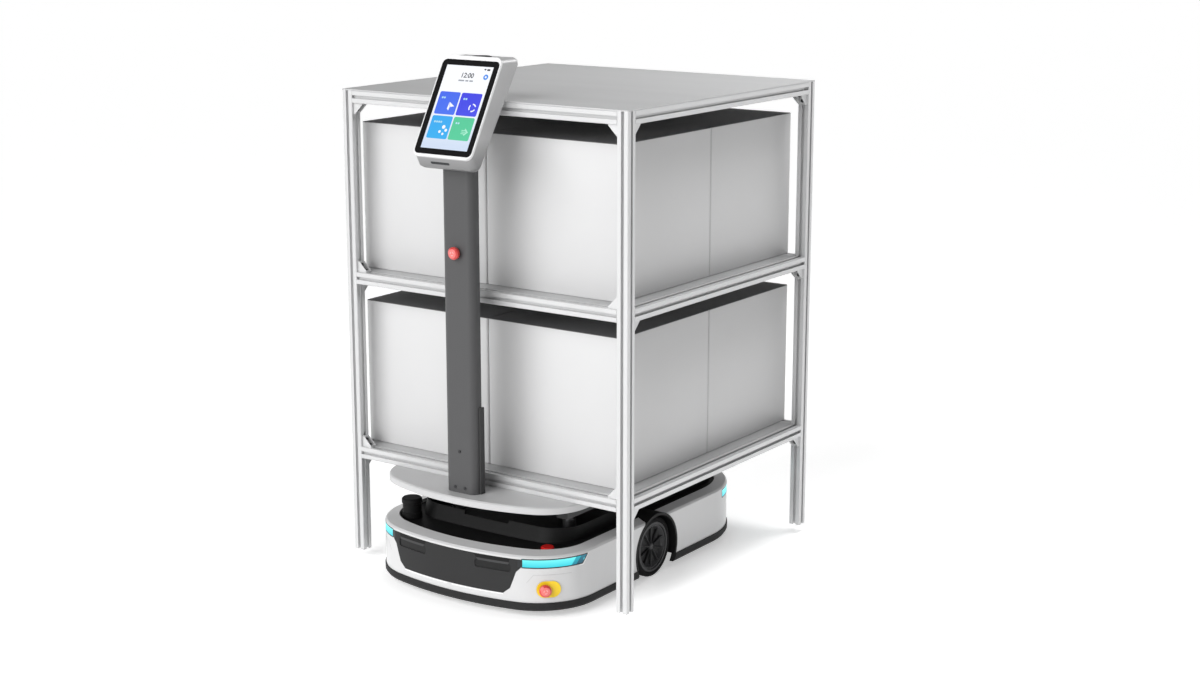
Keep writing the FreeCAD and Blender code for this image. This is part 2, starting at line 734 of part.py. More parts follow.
def arch_liner():
    """A half drum over the wheel with an inner wall that the drive shaft passes."""
    start = V(LINER_INNER_X, ARCH_Y, ARCH_Z)
    length = SHELL_PLAN.half + LINER_PROUD - LINER_INNER_X
    outer = ARCH_R - FIT_GAP
    drum = rod(outer, start, X_AXIS, length)
    hollow = rod(outer - LINER_WALL, start + V(LINER_WALL / 2, 0, 0), X_AXIS, length)
    drum = drum.cut(hollow)
    drum = drum.cut(rod(MOTOR_R + FIT_GAP, V(0, WHEEL_Y, WHEEL_R), X_AXIS, LINER_INNER_X + LINER_WALL))
    under = box(0, 2 * HALF_W, ARCH_Y - 2 * ARCH_R, ARCH_Y + 2 * ARCH_R, -ARCH_R, SHELL_BOTTOM)
    return drum.cut(under)


def inner_tray():
    tray = plan_block(SHELL_PLAN, SHELL_WALL + FIT_GAP, TRAY_LOW, TRAY_TOP)
    tub = plan_loft(TUB_FOOT_PLAN, 0, TRAY_TOP, TUB_LIP_PLAN, 0, TUB_TOP)
    tub = tub.cut(plan_loft(TUB_FOOT_PLAN, TUB_WALL, TRAY_TOP, TUB_LIP_PLAN, TUB_WALL, TUB_TOP))
    notch_front = TUB_FOOT_PLAN.front - TUB_WALL
    notch = box(-NOTCH_HALF, NOTCH_HALF, notch_front, notch_front + 8 * TUB_WALL,
                TUB_TOP - NOTCH_DEPTH, TUB_TOP)
    tray = tray.fuse(tub.cut(notch))
    for x, y in rod_places():
        tray = tray.cut(rod(SLEEVE_R + FIT_GAP, V(x, y, TRAY_LOW), Z_AXIS, TRAY))
    tray = tray.cut(rod(JACK_R + FIT_GAP, V(0, CROSS_MID_Y, TRAY_LOW), Z_AXIS, TRAY))
    motor = V(LIFT_MOTOR_X, CROSS_MID_Y, TRAY_LOW)
    tray = tray.cut(rod(LIFT_MOTOR_R + FIT_GAP, motor, Z_AXIS, TRAY))
    return tray.cut(arch_cut(FIT_GAP))


def lidar():
    """A scanner can: foot, recessed window band and cap, turned about its axis."""
    r = LIDAR_R
    h = LIDAR_HEIGHT
    steps = [(0, 0), (r - 1.5, 0), (r, 1.5), (r, 0.28 * h), (r - 2, 0.31 * h),
             (r - 2, 0.72 * h), (r, 0.75 * h), (r, h - 3), (r - 3, h), (0, h)]
    points = [V(x, 0, z) for x, z in steps]
    can = Part.Face(Part.makePolygon(points + points[:1])).revolve(V(0, 0, 0), Z_AXIS, 360)
    can.translate(V(LIDAR_X, LIDAR_Y, TRAY_TOP))
    return can


def marker_lens():
    lens = rod(LENS_R, V(LENS_X, LENS_Y, TRAY_TOP), Z_AXIS, LENS_HEIGHT)
    top = [e for e in lens.Edges if e.BoundBox.ZMin > TRAY_TOP + 1 and len(e.Vertexes) == 1]
    return lens.makeChamfer(LENS_HEIGHT / 3, top)


# ---------------------------------------------------------------- chassis
def caster_places():
    """Name, x and y of each caster's king pin."""
    places = []
    for row, y in (("front", CASTER_FRONT_Y), ("rear", CASTER_REAR_Y)):
        for hand, x in (("left", -CASTER_X), ("right", CASTER_X)):
            places.append(("%s_%s" % (row, hand), x, y))
    return places


def rod_places():
    return [(x, y) for y in (CROSS_FRONT_Y, CROSS_REAR_Y) for x in (-ROD_X, ROD_X)]


def chassis_frame():
    """Frame plate, belly pan, the uprights between them and the casters' top plates."""
    plate = plan_block(SHELL_PLAN, SHELL_WALL + FIT_GAP, FRAME_LOW, FRAME_TOP)
    plate = plate.cut(arch_cut(FIT_GAP))
    pan = box(-PAN_HALF, PAN_HALF, PAN_FRONT, PAN_REAR, PAN_LOW, PAN_TOP)
    solids = [plate, pan]
    u = UPRIGHT / 2
    for x in (-UPRIGHT_X, UPRIGHT_X):
        for y in (PAN_FRONT + UPRIGHT, PAN_REAR - UPRIGHT):
            solids.append(box(x - u, x + u, y - u, y + u, PAN_TOP, FRAME_LOW))
    h = CASTER_PLATE_HALF
    low = FRAME_LOW - CASTER_PLATE
    for name, x, y in caster_places():
        top = box(x - h, x + h, y - h, y + h, low, FRAME_LOW)
        solids.append(top.cut(rod(KINGPIN_R + RUNNING_GAP, V(x, y, low), Z_AXIS, CASTER_PLATE)))
    return Part.makeCompound(solids)


def battery_pack():
    return rounded_block(-BATTERY_HALF, BATTERY_HALF, BATTERY_FRONT, BATTERY_REAR,
                         PAN_TOP, PAN_TOP + BATTERY_HEIGHT, 6)


def drive_unit():
    """Geared motor, its saddle under the frame plate and the output shaft."""
    length = LINER_INNER_X + LINER_WALL / 2 - MOTOR_INNER_X
    motor = rod(MOTOR_R, V(MOTOR_INNER_X, WHEEL_Y, WHEEL_R), X_AXIS, length)
    saddle = box(MOTOR_INNER_X + 10, LINER_INNER_X - 10, WHEEL_Y - 22, WHEEL_Y + 22,
                 WHEEL_R, FRAME_LOW)
    shaft_end = WHEEL_OUTER - HUB_DISH - 2
    shaft = rod(SHAFT_R, V(MOTOR_INNER_X, WHEEL_Y, WHEEL_R), X_AXIS, shaft_end - MOTOR_INNER_X)
    return motor.fuse([saddle, shaft]).removeSplitter()


def tyre():
    """A solid tread with bevelled shoulders on the hub's rim."""
    b = TYRE_DEPTH / 4
    x0 = WHEEL_INNER
    x1 = WHEEL_OUTER
    steps = [(x0, HUB_R), (x0, WHEEL_R - b), (x0 + b, WHEEL_R), (x1 - b, WHEEL_R),
             (x1, WHEEL_R - b), (x1, HUB_R)]
    points = [V(x, WHEEL_Y, WHEEL_R + r) for x, r in steps]
    face = Part.Face(Part.makePolygon(points + points[:1]))
    return face.revolve(V(0, WHEEL_Y, WHEEL_R), X_AXIS, 360)


def hub():
    """Rim ring, dished web with spokes, and a boss on the shaft."""
    axis = V(0, WHEEL_Y, WHEEL_R)
    rim = tube(HUB_R, HUB_R - HUB_RING, axis + V(WHEEL_INNER, 0, 0), X_AXIS, WHEEL_WIDTH)
    web_x = WHEEL_OUTER - HUB_DISH - HUB_WEB - 6
    web = rod(HUB_R - HUB_RING + 1, axis + V(web_x, 0, 0), X_AXIS, HUB_WEB / 2)
    boss = rod(HUB_BOSS_R, axis + V(WHEEL_INNER, 0, 0), X_AXIS, WHEEL_WIDTH - HUB_DISH)
    spokes = []
    for n in range(HUB_SPOKES):
        blade = box(web_x, web_x + HUB_WEB + 4, WHEEL_Y - HUB_SPOKE_WIDTH / 2,
                    WHEEL_Y + HUB_SPOKE_WIDTH / 2, WHEEL_R, WHEEL_R + HUB_R - HUB_RING + 1)
        blade.rotate(axis, X_AXIS, n * 360.0 / HUB_SPOKES)
        spokes.append(blade)
    solid = rim.fuse([web, boss] + spokes).removeSplitter()
    bore = rod(SHAFT_R + RUNNING_GAP, axis, X_AXIS, WHEEL_OUTER - HUB_DISH - 1.5)
    return solid.cut(bore)


def caster_fork(x, y):
    """King pin, swivel disc, two tapered legs and the axle that they hold."""
    disc_top = FRAME_LOW - CASTER_PLATE - FIT_GAP
    disc_low = disc_top - FORK_DISC
    disc = rod(FORK_DISC_R, V(x, y, disc_low), Z_AXIS, FORK_DISC)
    pin = rod(KINGPIN_R, V(x, y, disc_low), Z_AXIS, FRAME_LOW - FIT_GAP - disc_low)
    axle_y = y + CASTER_TRAIL
    inner = CASTER_WIDTH / 2 + FORK_SIDE_GAP
    r = FORK_END_R
    legs = []
    for side in (-1, 1):
        x0 = x + side * inner if side > 0 else x - inner - FORK_LEG
        outline = [V(x0, y - FORK_TOP_HALF, disc_low), V(x0, y + FORK_TOP_HALF, disc_low),
                   V(x0, axle_y + r, CASTER_R), V(x0, axle_y - r, CASTER_R)]
        leg = polygon_prism(outline, V(FORK_LEG, 0, 0))
        legs.append(leg.fuse(rod(r, V(x0, axle_y, CASTER_R), X_AXIS, FORK_LEG)))
    reach = inner + FORK_LEG
    axle = rod(CASTER_AXLE_R, V(x - reach, axle_y, CASTER_R), X_AXIS, 2 * reach)
    return disc.fuse([pin, axle] + legs).removeSplitter()


def caster_wheel(x, y):
    half = CASTER_WIDTH / 2
    b = 2.5
    steps = [(-half, CASTER_AXLE_R + RUNNING_GAP), (-half, CASTER_R - b), (-half + b, CASTER_R),
             (half - b, CASTER_R), (half, CASTER_R - b), (half, CASTER_AXLE_R + RUNNING_GAP)]
    axle_y = y + CASTER_TRAIL
    points = [V(x + u, axle_y, CASTER_R + r) for u, r in steps]
    face = Part.Face(Part.makePolygon(points + points[:1]))
    return face.revolve(V(x, axle_y, CASTER_R), X_AXIS, 360)


# ---------------------------------------------------------------- lift and deck
def lift_sleeves():
    length = SLEEVE_TOP - FRAME_TOP
    guide = tube(SLEEVE_R, ROD_R + RUNNING_GAP, V(0, 0, FRAME_TOP), Z_AXIS, length)
    return Part.makeCompound(pattern(guide, [(x, y, 0) for x, y in rod_places()]))


def lift_jack():
    """The screw jack's housing with its motor beside it."""
    foot = V(0, CROSS_MID_Y, FRAME_TOP)
    housing = rod(JACK_R, foot, Z_AXIS, JACK_TOP - FRAME_TOP)
    motor = rod(LIFT_MOTOR_R, foot + V(LIFT_MOTOR_X, 0, 0), Z_AXIS, JACK_TOP - FRAME_TOP)
    bridge = box(0, LIFT_MOTOR_X, CROSS_MID_Y - LIFT_MOTOR_R, CROSS_MID_Y + LIFT_MOTOR_R,
                 FRAME_TOP, LIFT_BRIDGE_TOP)
    solid = housing.fuse([motor, bridge]).removeSplitter()
    return solid.cut(rod(RAM_R + RUNNING_GAP, foot, Z_AXIS, JACK_TOP - FRAME_TOP))


def lift_rods():
    length = RAIL_LOW - ROD_BOTTOM
    bars = [rod(ROD_R, V(x, y, ROD_BOTTOM), Z_AXIS, length) for x, y in rod_places()]
    bars.append(rod(RAM_R, V(0, CROSS_MID_Y, ROD_BOTTOM), Z_AXIS, length))
    return Part.makeCompound(bars)


def channel(x0, x1, y0, y1):
    """A rail under the deck, open at the top along its longer side."""
    w = RAIL_WALL
    outer = box(x0, x1, y0, y1, RAIL_LOW, SKIN_UNDER)
    return outer.cut(box(x0 + w, x1 - w, y0 + w, y1 - w, RAIL_LOW + w, SKIN_UNDER))


def deck_frame():
    inner = RAIL_OUTER - RAIL_WIDTH
    half = RAIL_WIDTH / 2
    rails = both_sides(channel(inner, RAIL_OUTER, RAIL_FRONT, RAIL_REAR))
    for y in (CROSS_FRONT_Y, CROSS_MID_Y, CROSS_REAR_Y):
        rails.append(channel(-inner, inner, y - half, y + half))
    return Part.makeCompound(rails)


def deck_plate():
    edge = DECK_TOP - DECK_BEVEL
    plate = plan_block(DECK_PLAN, 0, DECK_LOW, edge)
    plate = plate.fuse(plan_loft(DECK_PLAN, 0, edge, DECK_PLAN, DECK_BEVEL, DECK_TOP))
    return plate.cut(plan_block(DECK_PLAN, DECK_SKIN, DECK_LOW, SKIN_UNDER))


# ---------------------------------------------------------------- column and head
def head_place(shape):
    """Tilts a piece built upright about the glass's lower edge, and puts it there."""
    shape.rotate(V(0, 0, 0), X_AXIS, -HEAD_TILT)
    shape.translate(V(0, GLASS_FOOT_Y, GLASS_FOOT_Z))
    return shape


def head_slab():
    """All that lies in front of the head's sloping back, built upright."""
    reach = 2 * GLASS_HEIGHT
    low = HEAD_DEPTH_LOW + BACK_SLOPE * (HEAD_JAW - reach)
    high = HEAD_DEPTH_LOW + BACK_SLOPE * (HEAD_JAW + reach)
    section = [(-reach, -reach), (low, -reach), (high, reach), (-reach, reach)]
    return polygon_prism([V(-reach, y, z) for y, z in section], V(2 * reach, 0, 0))


def column_section(inset, z0, z1):
    w = COLUMN_HALF - inset
    block = box(-w, w, COLUMN_FRONT + inset, COLUMN_REAR - inset, z0, z1)
    middle = (COLUMN_FRONT + COLUMN_REAR) / 2
    front = [e for e in block.Edges
             if abs(e.tangentAt(e.FirstParameter).z) > 0.9 and e.CenterOfMass.y < middle]
    return block.makeFillet(COLUMN_CORNER - inset, front)


def column():
    top = GLASS_FOOT_Z + GLASS_HEIGHT / 2 + 40
    post = column_section(0, DECK_TOP, top).cut(column_section(COLUMN_WALL, DECK_TOP, top))
    post = post.cut(head_place(head_slab()))
    bore = V(0, COLUMN_FRONT - 1, COLUMN_BUTTON_Z)
    post = post.cut(rod(STEM_R + RUNNING_GAP, bore, Y_AXIS, COLUMN_WALL + 2))
    for x, z in screw_places():
        post = post.cut(rod(SCREW_SHANK_R + 0.1, V(x, COLUMN_FRONT - 1, z), Y_AXIS, COLUMN_WALL + 2))
    return post


def screw_places():
    low = DECK_TOP + SCREW_PAIR_RISE
    return [(-SCREW_PAIR_HALF, low), (SCREW_PAIR_HALF, low), (0, DECK_TOP + SCREW_SINGLE_RISE)]


def column_screws():
    head = rod(SCREW_R, V(0, COLUMN_FRONT - SCREW_HEAD, 0), Y_AXIS, SCREW_HEAD)
    screw = head.fuse(rod(SCREW_SHANK_R, V(0, COLUMN_FRONT, 0), Y_AXIS, SCREW_LENGTH))
    return Part.makeCompound(pattern(screw, [(x, 0, z) for x, z in screw_places()]))


def column_bracket():
    """A channel that clasps the column's rear from the deck up."""
    w = COLUMN_HALF + FIT_GAP
    rear = COLUMN_REAR + FIT_GAP
    outer = box(-w - BRACKET_WALL, w + BRACKET_WALL, BRACKET_FRONT, rear + BRACKET_WALL,
                DECK_TOP, BRACKET_TOP)
    return outer.cut(box(-w, w, BRACKET_FRONT, rear, DECK_TOP, BRACKET_TOP))


def head_outline(inset, chin, y):
    half = GLASS_WIDTH / 2 + HEAD_SIDE - inset
    top = GLASS_HEIGHT + HEAD_BROW - inset
    return rounded_wire(half, -chin, top, HEAD_CORNER, y)


def glass_opening(gap, y0, y1):
    half = GLASS_WIDTH / 2 + gap
    return rounded_plate(half, -gap, GLASS_HEIGHT + gap, GLASS_CORNER, y0, y1)


def head_bezel():
    ring = Part.Face(head_outline(0, HEAD_CHIN, 0)).extrude(V(0, BEZEL_DEPTH, 0))
    return head_place(ring.cut(glass_opening(FIT_GAP, 0, BEZEL_DEPTH)))


def head_side():
    """The housing from the side, built upright: chin, jaw, sloping back, top that lies level."""
    rise = math.tan(TILT)
    top = GLASS_HEIGHT + HEAD_BROW
    middle = BEZEL_DEPTH + HEAD_STRAIGHT
    low = HEAD_DEPTH_LOW + BACK_SLOPE * (HEAD_JAW - HEAD_JAW_REAR)
    level = HEAD_DEPTH_LOW + BACK_SLOPE * (top + HEAD_JAW - BEZEL_DEPTH * rise)
    high = level / (1 - BACK_SLOPE * rise)
    return [(BEZEL_DEPTH, -HEAD_CHIN), (middle, -HEAD_JAW), (low, -HEAD_JAW_REAR),
            (high, top + (high - BEZEL_DEPTH) * rise), (BEZEL_DEPTH, top)]


def head_shell():
    """The rear housing: its jaw swells below the glass, and its top and jaw are rounded over."""
    half = GLASS_WIDTH / 2 + HEAD_SIDE
    section = [V(-half, y, z) for y, z in head_side()]
    housing = polygon_prism(section, V(2 * half, 0, 0))
    ends = [e for e in housing.Edges if abs(e.CenterOfMass.x) > half / 2]
    rims = [e for e in ends if e.BoundBox.ZLength < HEAD_DEPTH_HIGH]
    housing = housing.makeFillet(HEAD_CORNER, rims)
    back = max(housing.Faces, key=lambda f: f.CenterOfMass.y)
    return head_place(housing.makeFillet(HEAD_EDGE, back.Edges))


def head_glass():
    low = DISPLAY_FOOT
    pane = glass_opening(0, GLASS_SINK, BEZEL_DEPTH)
    w = DISPLAY_WIDTH / 2
    pocket = box(-w, w, GLASS_SINK, GLASS_SINK + DISPLAY_THICK, low, low + DISPLAY_HEIGHT)
    return head_place(pane.cut(pocket))


def head_display():
    w = DISPLAY_WIDTH / 2
    low = DISPLAY_FOOT
    return head_place(box(-w, w, GLASS_SINK, GLASS_SINK + DISPLAY_THICK, low, low + DISPLAY_HEIGHT))


# ---------------------------------------------------------------- stop buttons
def mushroom():
    """A stop button that faces -Y, its mounting face at y = 0."""
    neck = STEM_R
    lip = BUTTON_GAP
    r = BUTTON_R
    tall = BUTTON_RISE
    profile = [(0, STEM_LENGTH), (neck, STEM_LENGTH), (neck, -lip), (r - 1.5, -lip),
               (r, -lip - 1.5), (r, -tall + 4), (r - 3.5, -tall + 0.8), (r - 8, -tall), (0, -tall)]
    points = [V(x, y, 0) for x, y in profile]
    return Part.Face(Part.makePolygon(points + points[:1])).revolve(V(0, 0, 0), Y_AXIS, 360)


def column_stop_button():
    button = mushroom()
    button.translate(V(0, COLUMN_FRONT, COLUMN_BUTTON_Z))
    return button


def base_stop_button():
    button = mushroom()
    button.translate(V(BASE_BUTTON_SHIFT, -PLATE_PROUD, 0))
    return corner_place(button)


def stop_plate():
    plate = stop_plate_block(0, -PLATE_PROUD, PLATE_BACK)
    bore = V(BASE_BUTTON_SHIFT, -2 * PLATE_PROUD, 0)
    plate = plate.cut(rod(STEM_R + RUNNING_GAP, bore, Y_AXIS, PLATE_BACK + 3 * PLATE_PROUD))
    return corner_place(plate)


# ---------------------------------------------------------------- export
def rack_parts():
    named = posts()
    named["beams_low"] = Part.makeCompound(beam_ring(LOW_Z) + bearers())
    named["beams_mid"] = Part.makeCompound(beam_ring(MID_Z))
    named["beams_top"] = Part.makeCompound(beam_ring(TOP_Z))
    named["shelf_low"] = shelf(LOW_SHELF_TOP)
    named["shelf_mid"] = shelf(MID_SHELF_TOP)
    named["top_panel"] = top_panel()
    angles = [place_gusset(gusset(), place) for place in gusset_places()]
    named["corner_brackets"] = Part.makeCompound(angles + shelf_clips())
    pairs = [place_gusset(gusset_screws(), place) for place in gusset_places()]
    named["bracket_screws"] = Part.makeCompound(pairs)
    named.update(bins())
    return named


def robot_parts():
    named = {}
    named["outer_shell"] = outer_shell()
    named["front_panel"] = front_panel()
    named["camera_windows"] = camera_windows()
    named["light_strips"] = light_strips()
    named["bumper_front"], named["bumper_rear"] = bumper()
    named["arch_liners"] = Part.makeCompound(both_sides(arch_liner()))
    named["inner_tray"] = inner_tray()
    named["lidar"] = lidar()
    named["marker_lens"] = marker_lens()
    named["stop_plate"] = stop_plate()

    named["chassis_frame"] = chassis_frame()
    named["battery_pack"] = battery_pack()
    named["drive_units"] = Part.makeCompound(both_sides(drive_unit()))
    named["tyre_right"], named["tyre_left"] = both_sides(tyre())
    named["hub_right"], named["hub_left"] = both_sides(hub())
    for name, x, y in caster_places():
        named["caster_fork_" + name] = caster_fork(x, y)
        named["caster_wheel_" + name] = caster_wheel(x, y)

    named["lift_sleeves"] = lift_sleeves()
    named["lift_jack"] = lift_jack()
    named["lift_rods"] = lift_rods()
    named["deck_frame"] = deck_frame()
    named["deck_plate"] = deck_plate()
    named["column"] = column()
    named["column_screws"] = column_screws()
    named["column_bracket"] = column_bracket()
    named["head_shell"] = head_shell()
    named["head_bezel"] = head_bezel()
    named["head_glass"] = head_glass()
    named["head_display"] = head_display()
    named["column_stop_button"] = column_stop_button()
    named["base_stop_button"] = base_stop_button()
    return named


def main():
    os.makedirs("parts", exist_ok=True)
    for parts, shift in ((rack_parts(), 0), (robot_parts(), ROBOT_SHIFT)):
        for name, shape in parts.items():
            shape.translate(V(0, ORIGIN_SHIFT + shift, 0))
            shape.exportStep("parts/%s.step" % name)


main()
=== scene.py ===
"""Looks of the lift robot and its loaded rack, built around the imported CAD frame. Metres."""
import json
import math

import bmesh
import bpy
from mathutils import Matrix, Vector
from mathutils.bvhtree import BVHTree


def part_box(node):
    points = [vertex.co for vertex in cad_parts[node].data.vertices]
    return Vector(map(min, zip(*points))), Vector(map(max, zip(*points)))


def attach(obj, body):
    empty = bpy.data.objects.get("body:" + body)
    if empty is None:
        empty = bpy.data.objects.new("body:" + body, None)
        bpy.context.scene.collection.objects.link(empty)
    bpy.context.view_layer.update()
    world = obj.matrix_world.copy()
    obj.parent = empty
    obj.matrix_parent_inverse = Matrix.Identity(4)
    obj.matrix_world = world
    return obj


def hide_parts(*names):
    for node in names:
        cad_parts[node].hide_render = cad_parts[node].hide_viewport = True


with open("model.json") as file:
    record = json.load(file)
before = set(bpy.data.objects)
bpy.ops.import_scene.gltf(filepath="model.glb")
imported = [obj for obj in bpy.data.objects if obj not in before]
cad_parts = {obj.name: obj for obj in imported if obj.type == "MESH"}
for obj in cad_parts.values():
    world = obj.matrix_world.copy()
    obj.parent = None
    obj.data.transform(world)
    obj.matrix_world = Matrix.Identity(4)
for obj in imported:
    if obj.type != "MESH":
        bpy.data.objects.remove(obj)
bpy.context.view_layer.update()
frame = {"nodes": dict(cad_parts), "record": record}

# ------------------------------------------------------------------ sizes
HEAD_TILT = math.radians(29.5)
DISPLAY_THICK = 0.001
SCREEN_LIFT = 0.00012         # between the screen's stacked layers
TILE_MARGIN = 0.0061          # from the display's side to the tiles
TILE_GAP = 0.0036
TILE_FOOT = 0.0243            # below the lower row of tiles
TILE_HEIGHT = 0.056
BIN_WALL = 0.003
BIN_CORNER = 0.005
LID_THICK = 0.005
LID_FLANGE = 0.0011
LID_INSET = 0.0004            # the lid's edge, inside the bin's outline
SMOOTH = math.radians(35.0)   # edges that turn more than this stay sharp
WALL_Z = 0.045                # a height at which the shell's wall has no opening
WALL_CORE = 0.27              # the corner fan's centre, in from the nose or the tail
WALL_LIFT = 0.0003            # how far thin trim stands off the wall
WALL_STEPS = 180              # rays that measure one corner of the wall
LIGHT_SPAN = (0.123, 0.141)   # heights of the corner lights' foot and top
LIGHT_OUT = 0.0012            # from a light to the middle of the dark line round it
LIGHT_LINE = 0.0026
GLEAM_OUT = 0.0040            # from a front light to the painted highlight past it
GLEAM_LINE = 0.0018
PAGE_SPAN = (1.09, 1.19)      # heights between which the page's colour changes
PAINT_SPAN = (1.09, 1.25)     # the same for the screen's paints
WHEEL_SPOKES = 10
SPOKE_ROOT = 0.006
HUB_WEB = 0.0115              # depth of the hub's web behind the tyre's face
WEB_FACE = 0.0112             # depth of the ring of painted shade laid over that web
HUB_RADIUS = 0.063
DISH_RADIUS = 0.052
SPOKE_REACH = 0.0455
CAP_RADIUS = 0.0108           # the face of a stop button, painted paler as a highlight
PANEL_SIDE = 0.1915           # half-width of the front panel beside the lights
PANEL_BORDER = 0.0026         # from the panel's side to the end of the painted highlight line at its foot
PANEL_FOOT = [(0.148, 0.0525), (0.1, 0.0520), (0.05, 0.0518), (0.004, 0.0517)]
POCKET_INNER = 0.072          # a camera's pocket, from the panel's middle
POCKET_OUTER = 0.170
POCKET_DEPTH = 0.0145         # how far it reaches down from the panel's top edge
POCKET_SHADE = 0.62           # share of that depth painted as shade; below it the lip is painted lighter, as if lit
PILL_RADIUS = 0.0208          # to the outline round the stop's yellow plate
PILL_HALF = 0.0085            # half the straight length of that outline
JAW_SLOT_HALF = 0.027
JAW_SLOT_RISE = 0.0032        # half the height of the slot in the head's jaw
DOME_RADIUS = 0.024
DOME_REAR = 0.011             # from the dome to the back of the head
BIN_FOOT = 0.003              # rounding at a bin's foot
BIN_LIP = 0.0008              # rounding at its rim
LENS = 60.13                  # millimetres, on a 36 mm sensor
CAMERA_X = 2.8623
CAMERA_BACK = 4.0211          # in front of the rack top's middle
CAMERA_Z = 1.6709
CAMERA_TILT = math.radians(77.14)
CAMERA_TURN = math.radians(34.97)
FLOOR_HALF = 80.0
FLOOR_GLOW = 0.43             # keeps the open floor white behind the object

NODES = frame["nodes"]
BODIES = frame["record"]["behaviour"]["bodies"]
SLOT_OF = {s["node"]: s["material_slot"] for s in frame["record"]["subparts"]}


# ------------------------------------------------------------------ materials
def socket(shader, name, value):
    """Sets a constant on the shader's own socket."""
    shader.inputs[name].default_value = value


def surface(name, color, rough, metal=0.0, coat=0.0, grain=400.0, bump=0.04, vary=0.05,
            stretch=(1.0, 1.0, 1.0), shine=0.5):
    """A Principled surface whose colour, roughness and bump follow fine noise in the object."""
    material = bpy.data.materials.new(name)
    material.use_nodes = True
    tree = material.node_tree
    link = tree.links.new
    shader = tree.nodes["Principled BSDF"]
    socket(shader, "Metallic", metal)
    socket(shader, "Coat Weight", coat)
    socket(shader, "Coat Roughness", 0.08)
    socket(shader, "Specular IOR Level", shine)

    place = tree.nodes.new("ShaderNodeTexCoord")
    scale = tree.nodes.new("ShaderNodeMapping")
    scale.inputs["Scale"].default_value = stretch
    link(place.outputs["Object"], scale.inputs["Vector"])
    fine = tree.nodes.new("ShaderNodeTexNoise")
    fine.inputs["Scale"].default_value = grain
    fine.inputs["Detail"].default_value = 3.0
    link(scale.outputs["Vector"], fine.inputs["Vector"])
    broad = tree.nodes.new("ShaderNodeTexNoise")
    broad.inputs["Scale"].default_value = 6.0
    link(scale.outputs["Vector"], broad.inputs["Vector"])

    tint = tree.nodes.new("ShaderNodeValToRGB")
    low, high = tint.color_ramp.elements
    low.position, high.position = 0.3, 0.7
    low.color = [c * (1 - vary) for c in color] + [1]
    high.color = [min(1, c * (1 + vary)) for c in color] + [1]
    link(broad.outputs["Fac"], tint.inputs["Fac"])
    link(tint.outputs["Color"], shader.inputs["Base Color"])

    spread = tree.nodes.new("ShaderNodeMapRange")
    spread.inputs["To Min"].default_value = rough * 0.88
    spread.inputs["To Max"].default_value = min(1.0, rough * 1.12)
    link(fine.outputs["Fac"], spread.inputs["Value"])
    link(spread.outputs["Result"], shader.inputs["Roughness"])

    relief = tree.nodes.new("ShaderNodeBump")
    relief.inputs["Strength"].default_value = bump
    relief.inputs["Distance"].default_value = 0.0004
    link(fine.outputs["Fac"], relief.inputs["Height"])
    link(relief.outputs["Normal"], shader.inputs["Normal"])
    return material


def shade_foot(material, low, share, reach):
    """Paints shade into a material: darkens it to share of its colour below low, fading out at
    reach, in box heights.
    """
    tree = material.node_tree
    shader = tree.nodes["Principled BSDF"]
    link = shader.inputs["Base Color"].links[0]
    place = tree.nodes.new("ShaderNodeTexCoord")
    split = tree.nodes.new("ShaderNodeSeparateXYZ")
    ramp = tree.nodes.new("ShaderNodeValToRGB")
    mix = tree.nodes.new("ShaderNodeMix")
    mix.data_type, mix.blend_type = "RGBA", "MULTIPLY"
    mix.inputs["Factor"].default_value = 1.0
    foot, body = ramp.color_ramp.elements
    foot.position, body.position = low, reach
    foot.color = (share, share, share, 1)
    body.color = (1, 1, 1, 1)
    tree.links.new(place.outputs["Generated"], split.inputs["Vector"])
    tree.links.new(split.outputs["Z"], ramp.inputs["Fac"])
    tree.links.new(link.from_socket, mix.inputs["A"])
    tree.links.new(ramp.outputs["Color"], mix.inputs["B"])
    tree.links.new(mix.outputs["Result"], shader.inputs["Base Color"])


def glowing(name, low_color, high_color, strength, span):
    """A lit surface whose colour runs from the lower height of span to the upper one."""
    material = surface(name, (0.012, 0.012, 0.013), 0.3, bump=0.0, vary=0.1)
    tree = material.node_tree
    shader = tree.nodes["Principled BSDF"]
    place = tree.nodes.new("ShaderNodeTexCoord")
    split = tree.nodes.new("ShaderNodeSeparateXYZ")
    tree.links.new(place.outputs["Object"], split.inputs["Vector"])
    run = tree.nodes.new("ShaderNodeMapRange")
    run.inputs["From Min"].default_value = span[0]
    run.inputs["From Max"].default_value = span[1]
    tree.links.new(split.outputs["Z"], run.inputs["Value"])
    ramp = tree.nodes.new("ShaderNodeValToRGB")
    ramp.color_ramp.elements[0].color = list(low_color) + [1]
    ramp.color_ramp.elements[1].color = list(high_color) + [1]
    tree.links.new(run.outputs["Result"], ramp.inputs["Fac"])
    tree.links.new(ramp.outputs["Color"], shader.inputs["Emission Color"])
    socket(shader, "Emission Strength", strength)
    return material


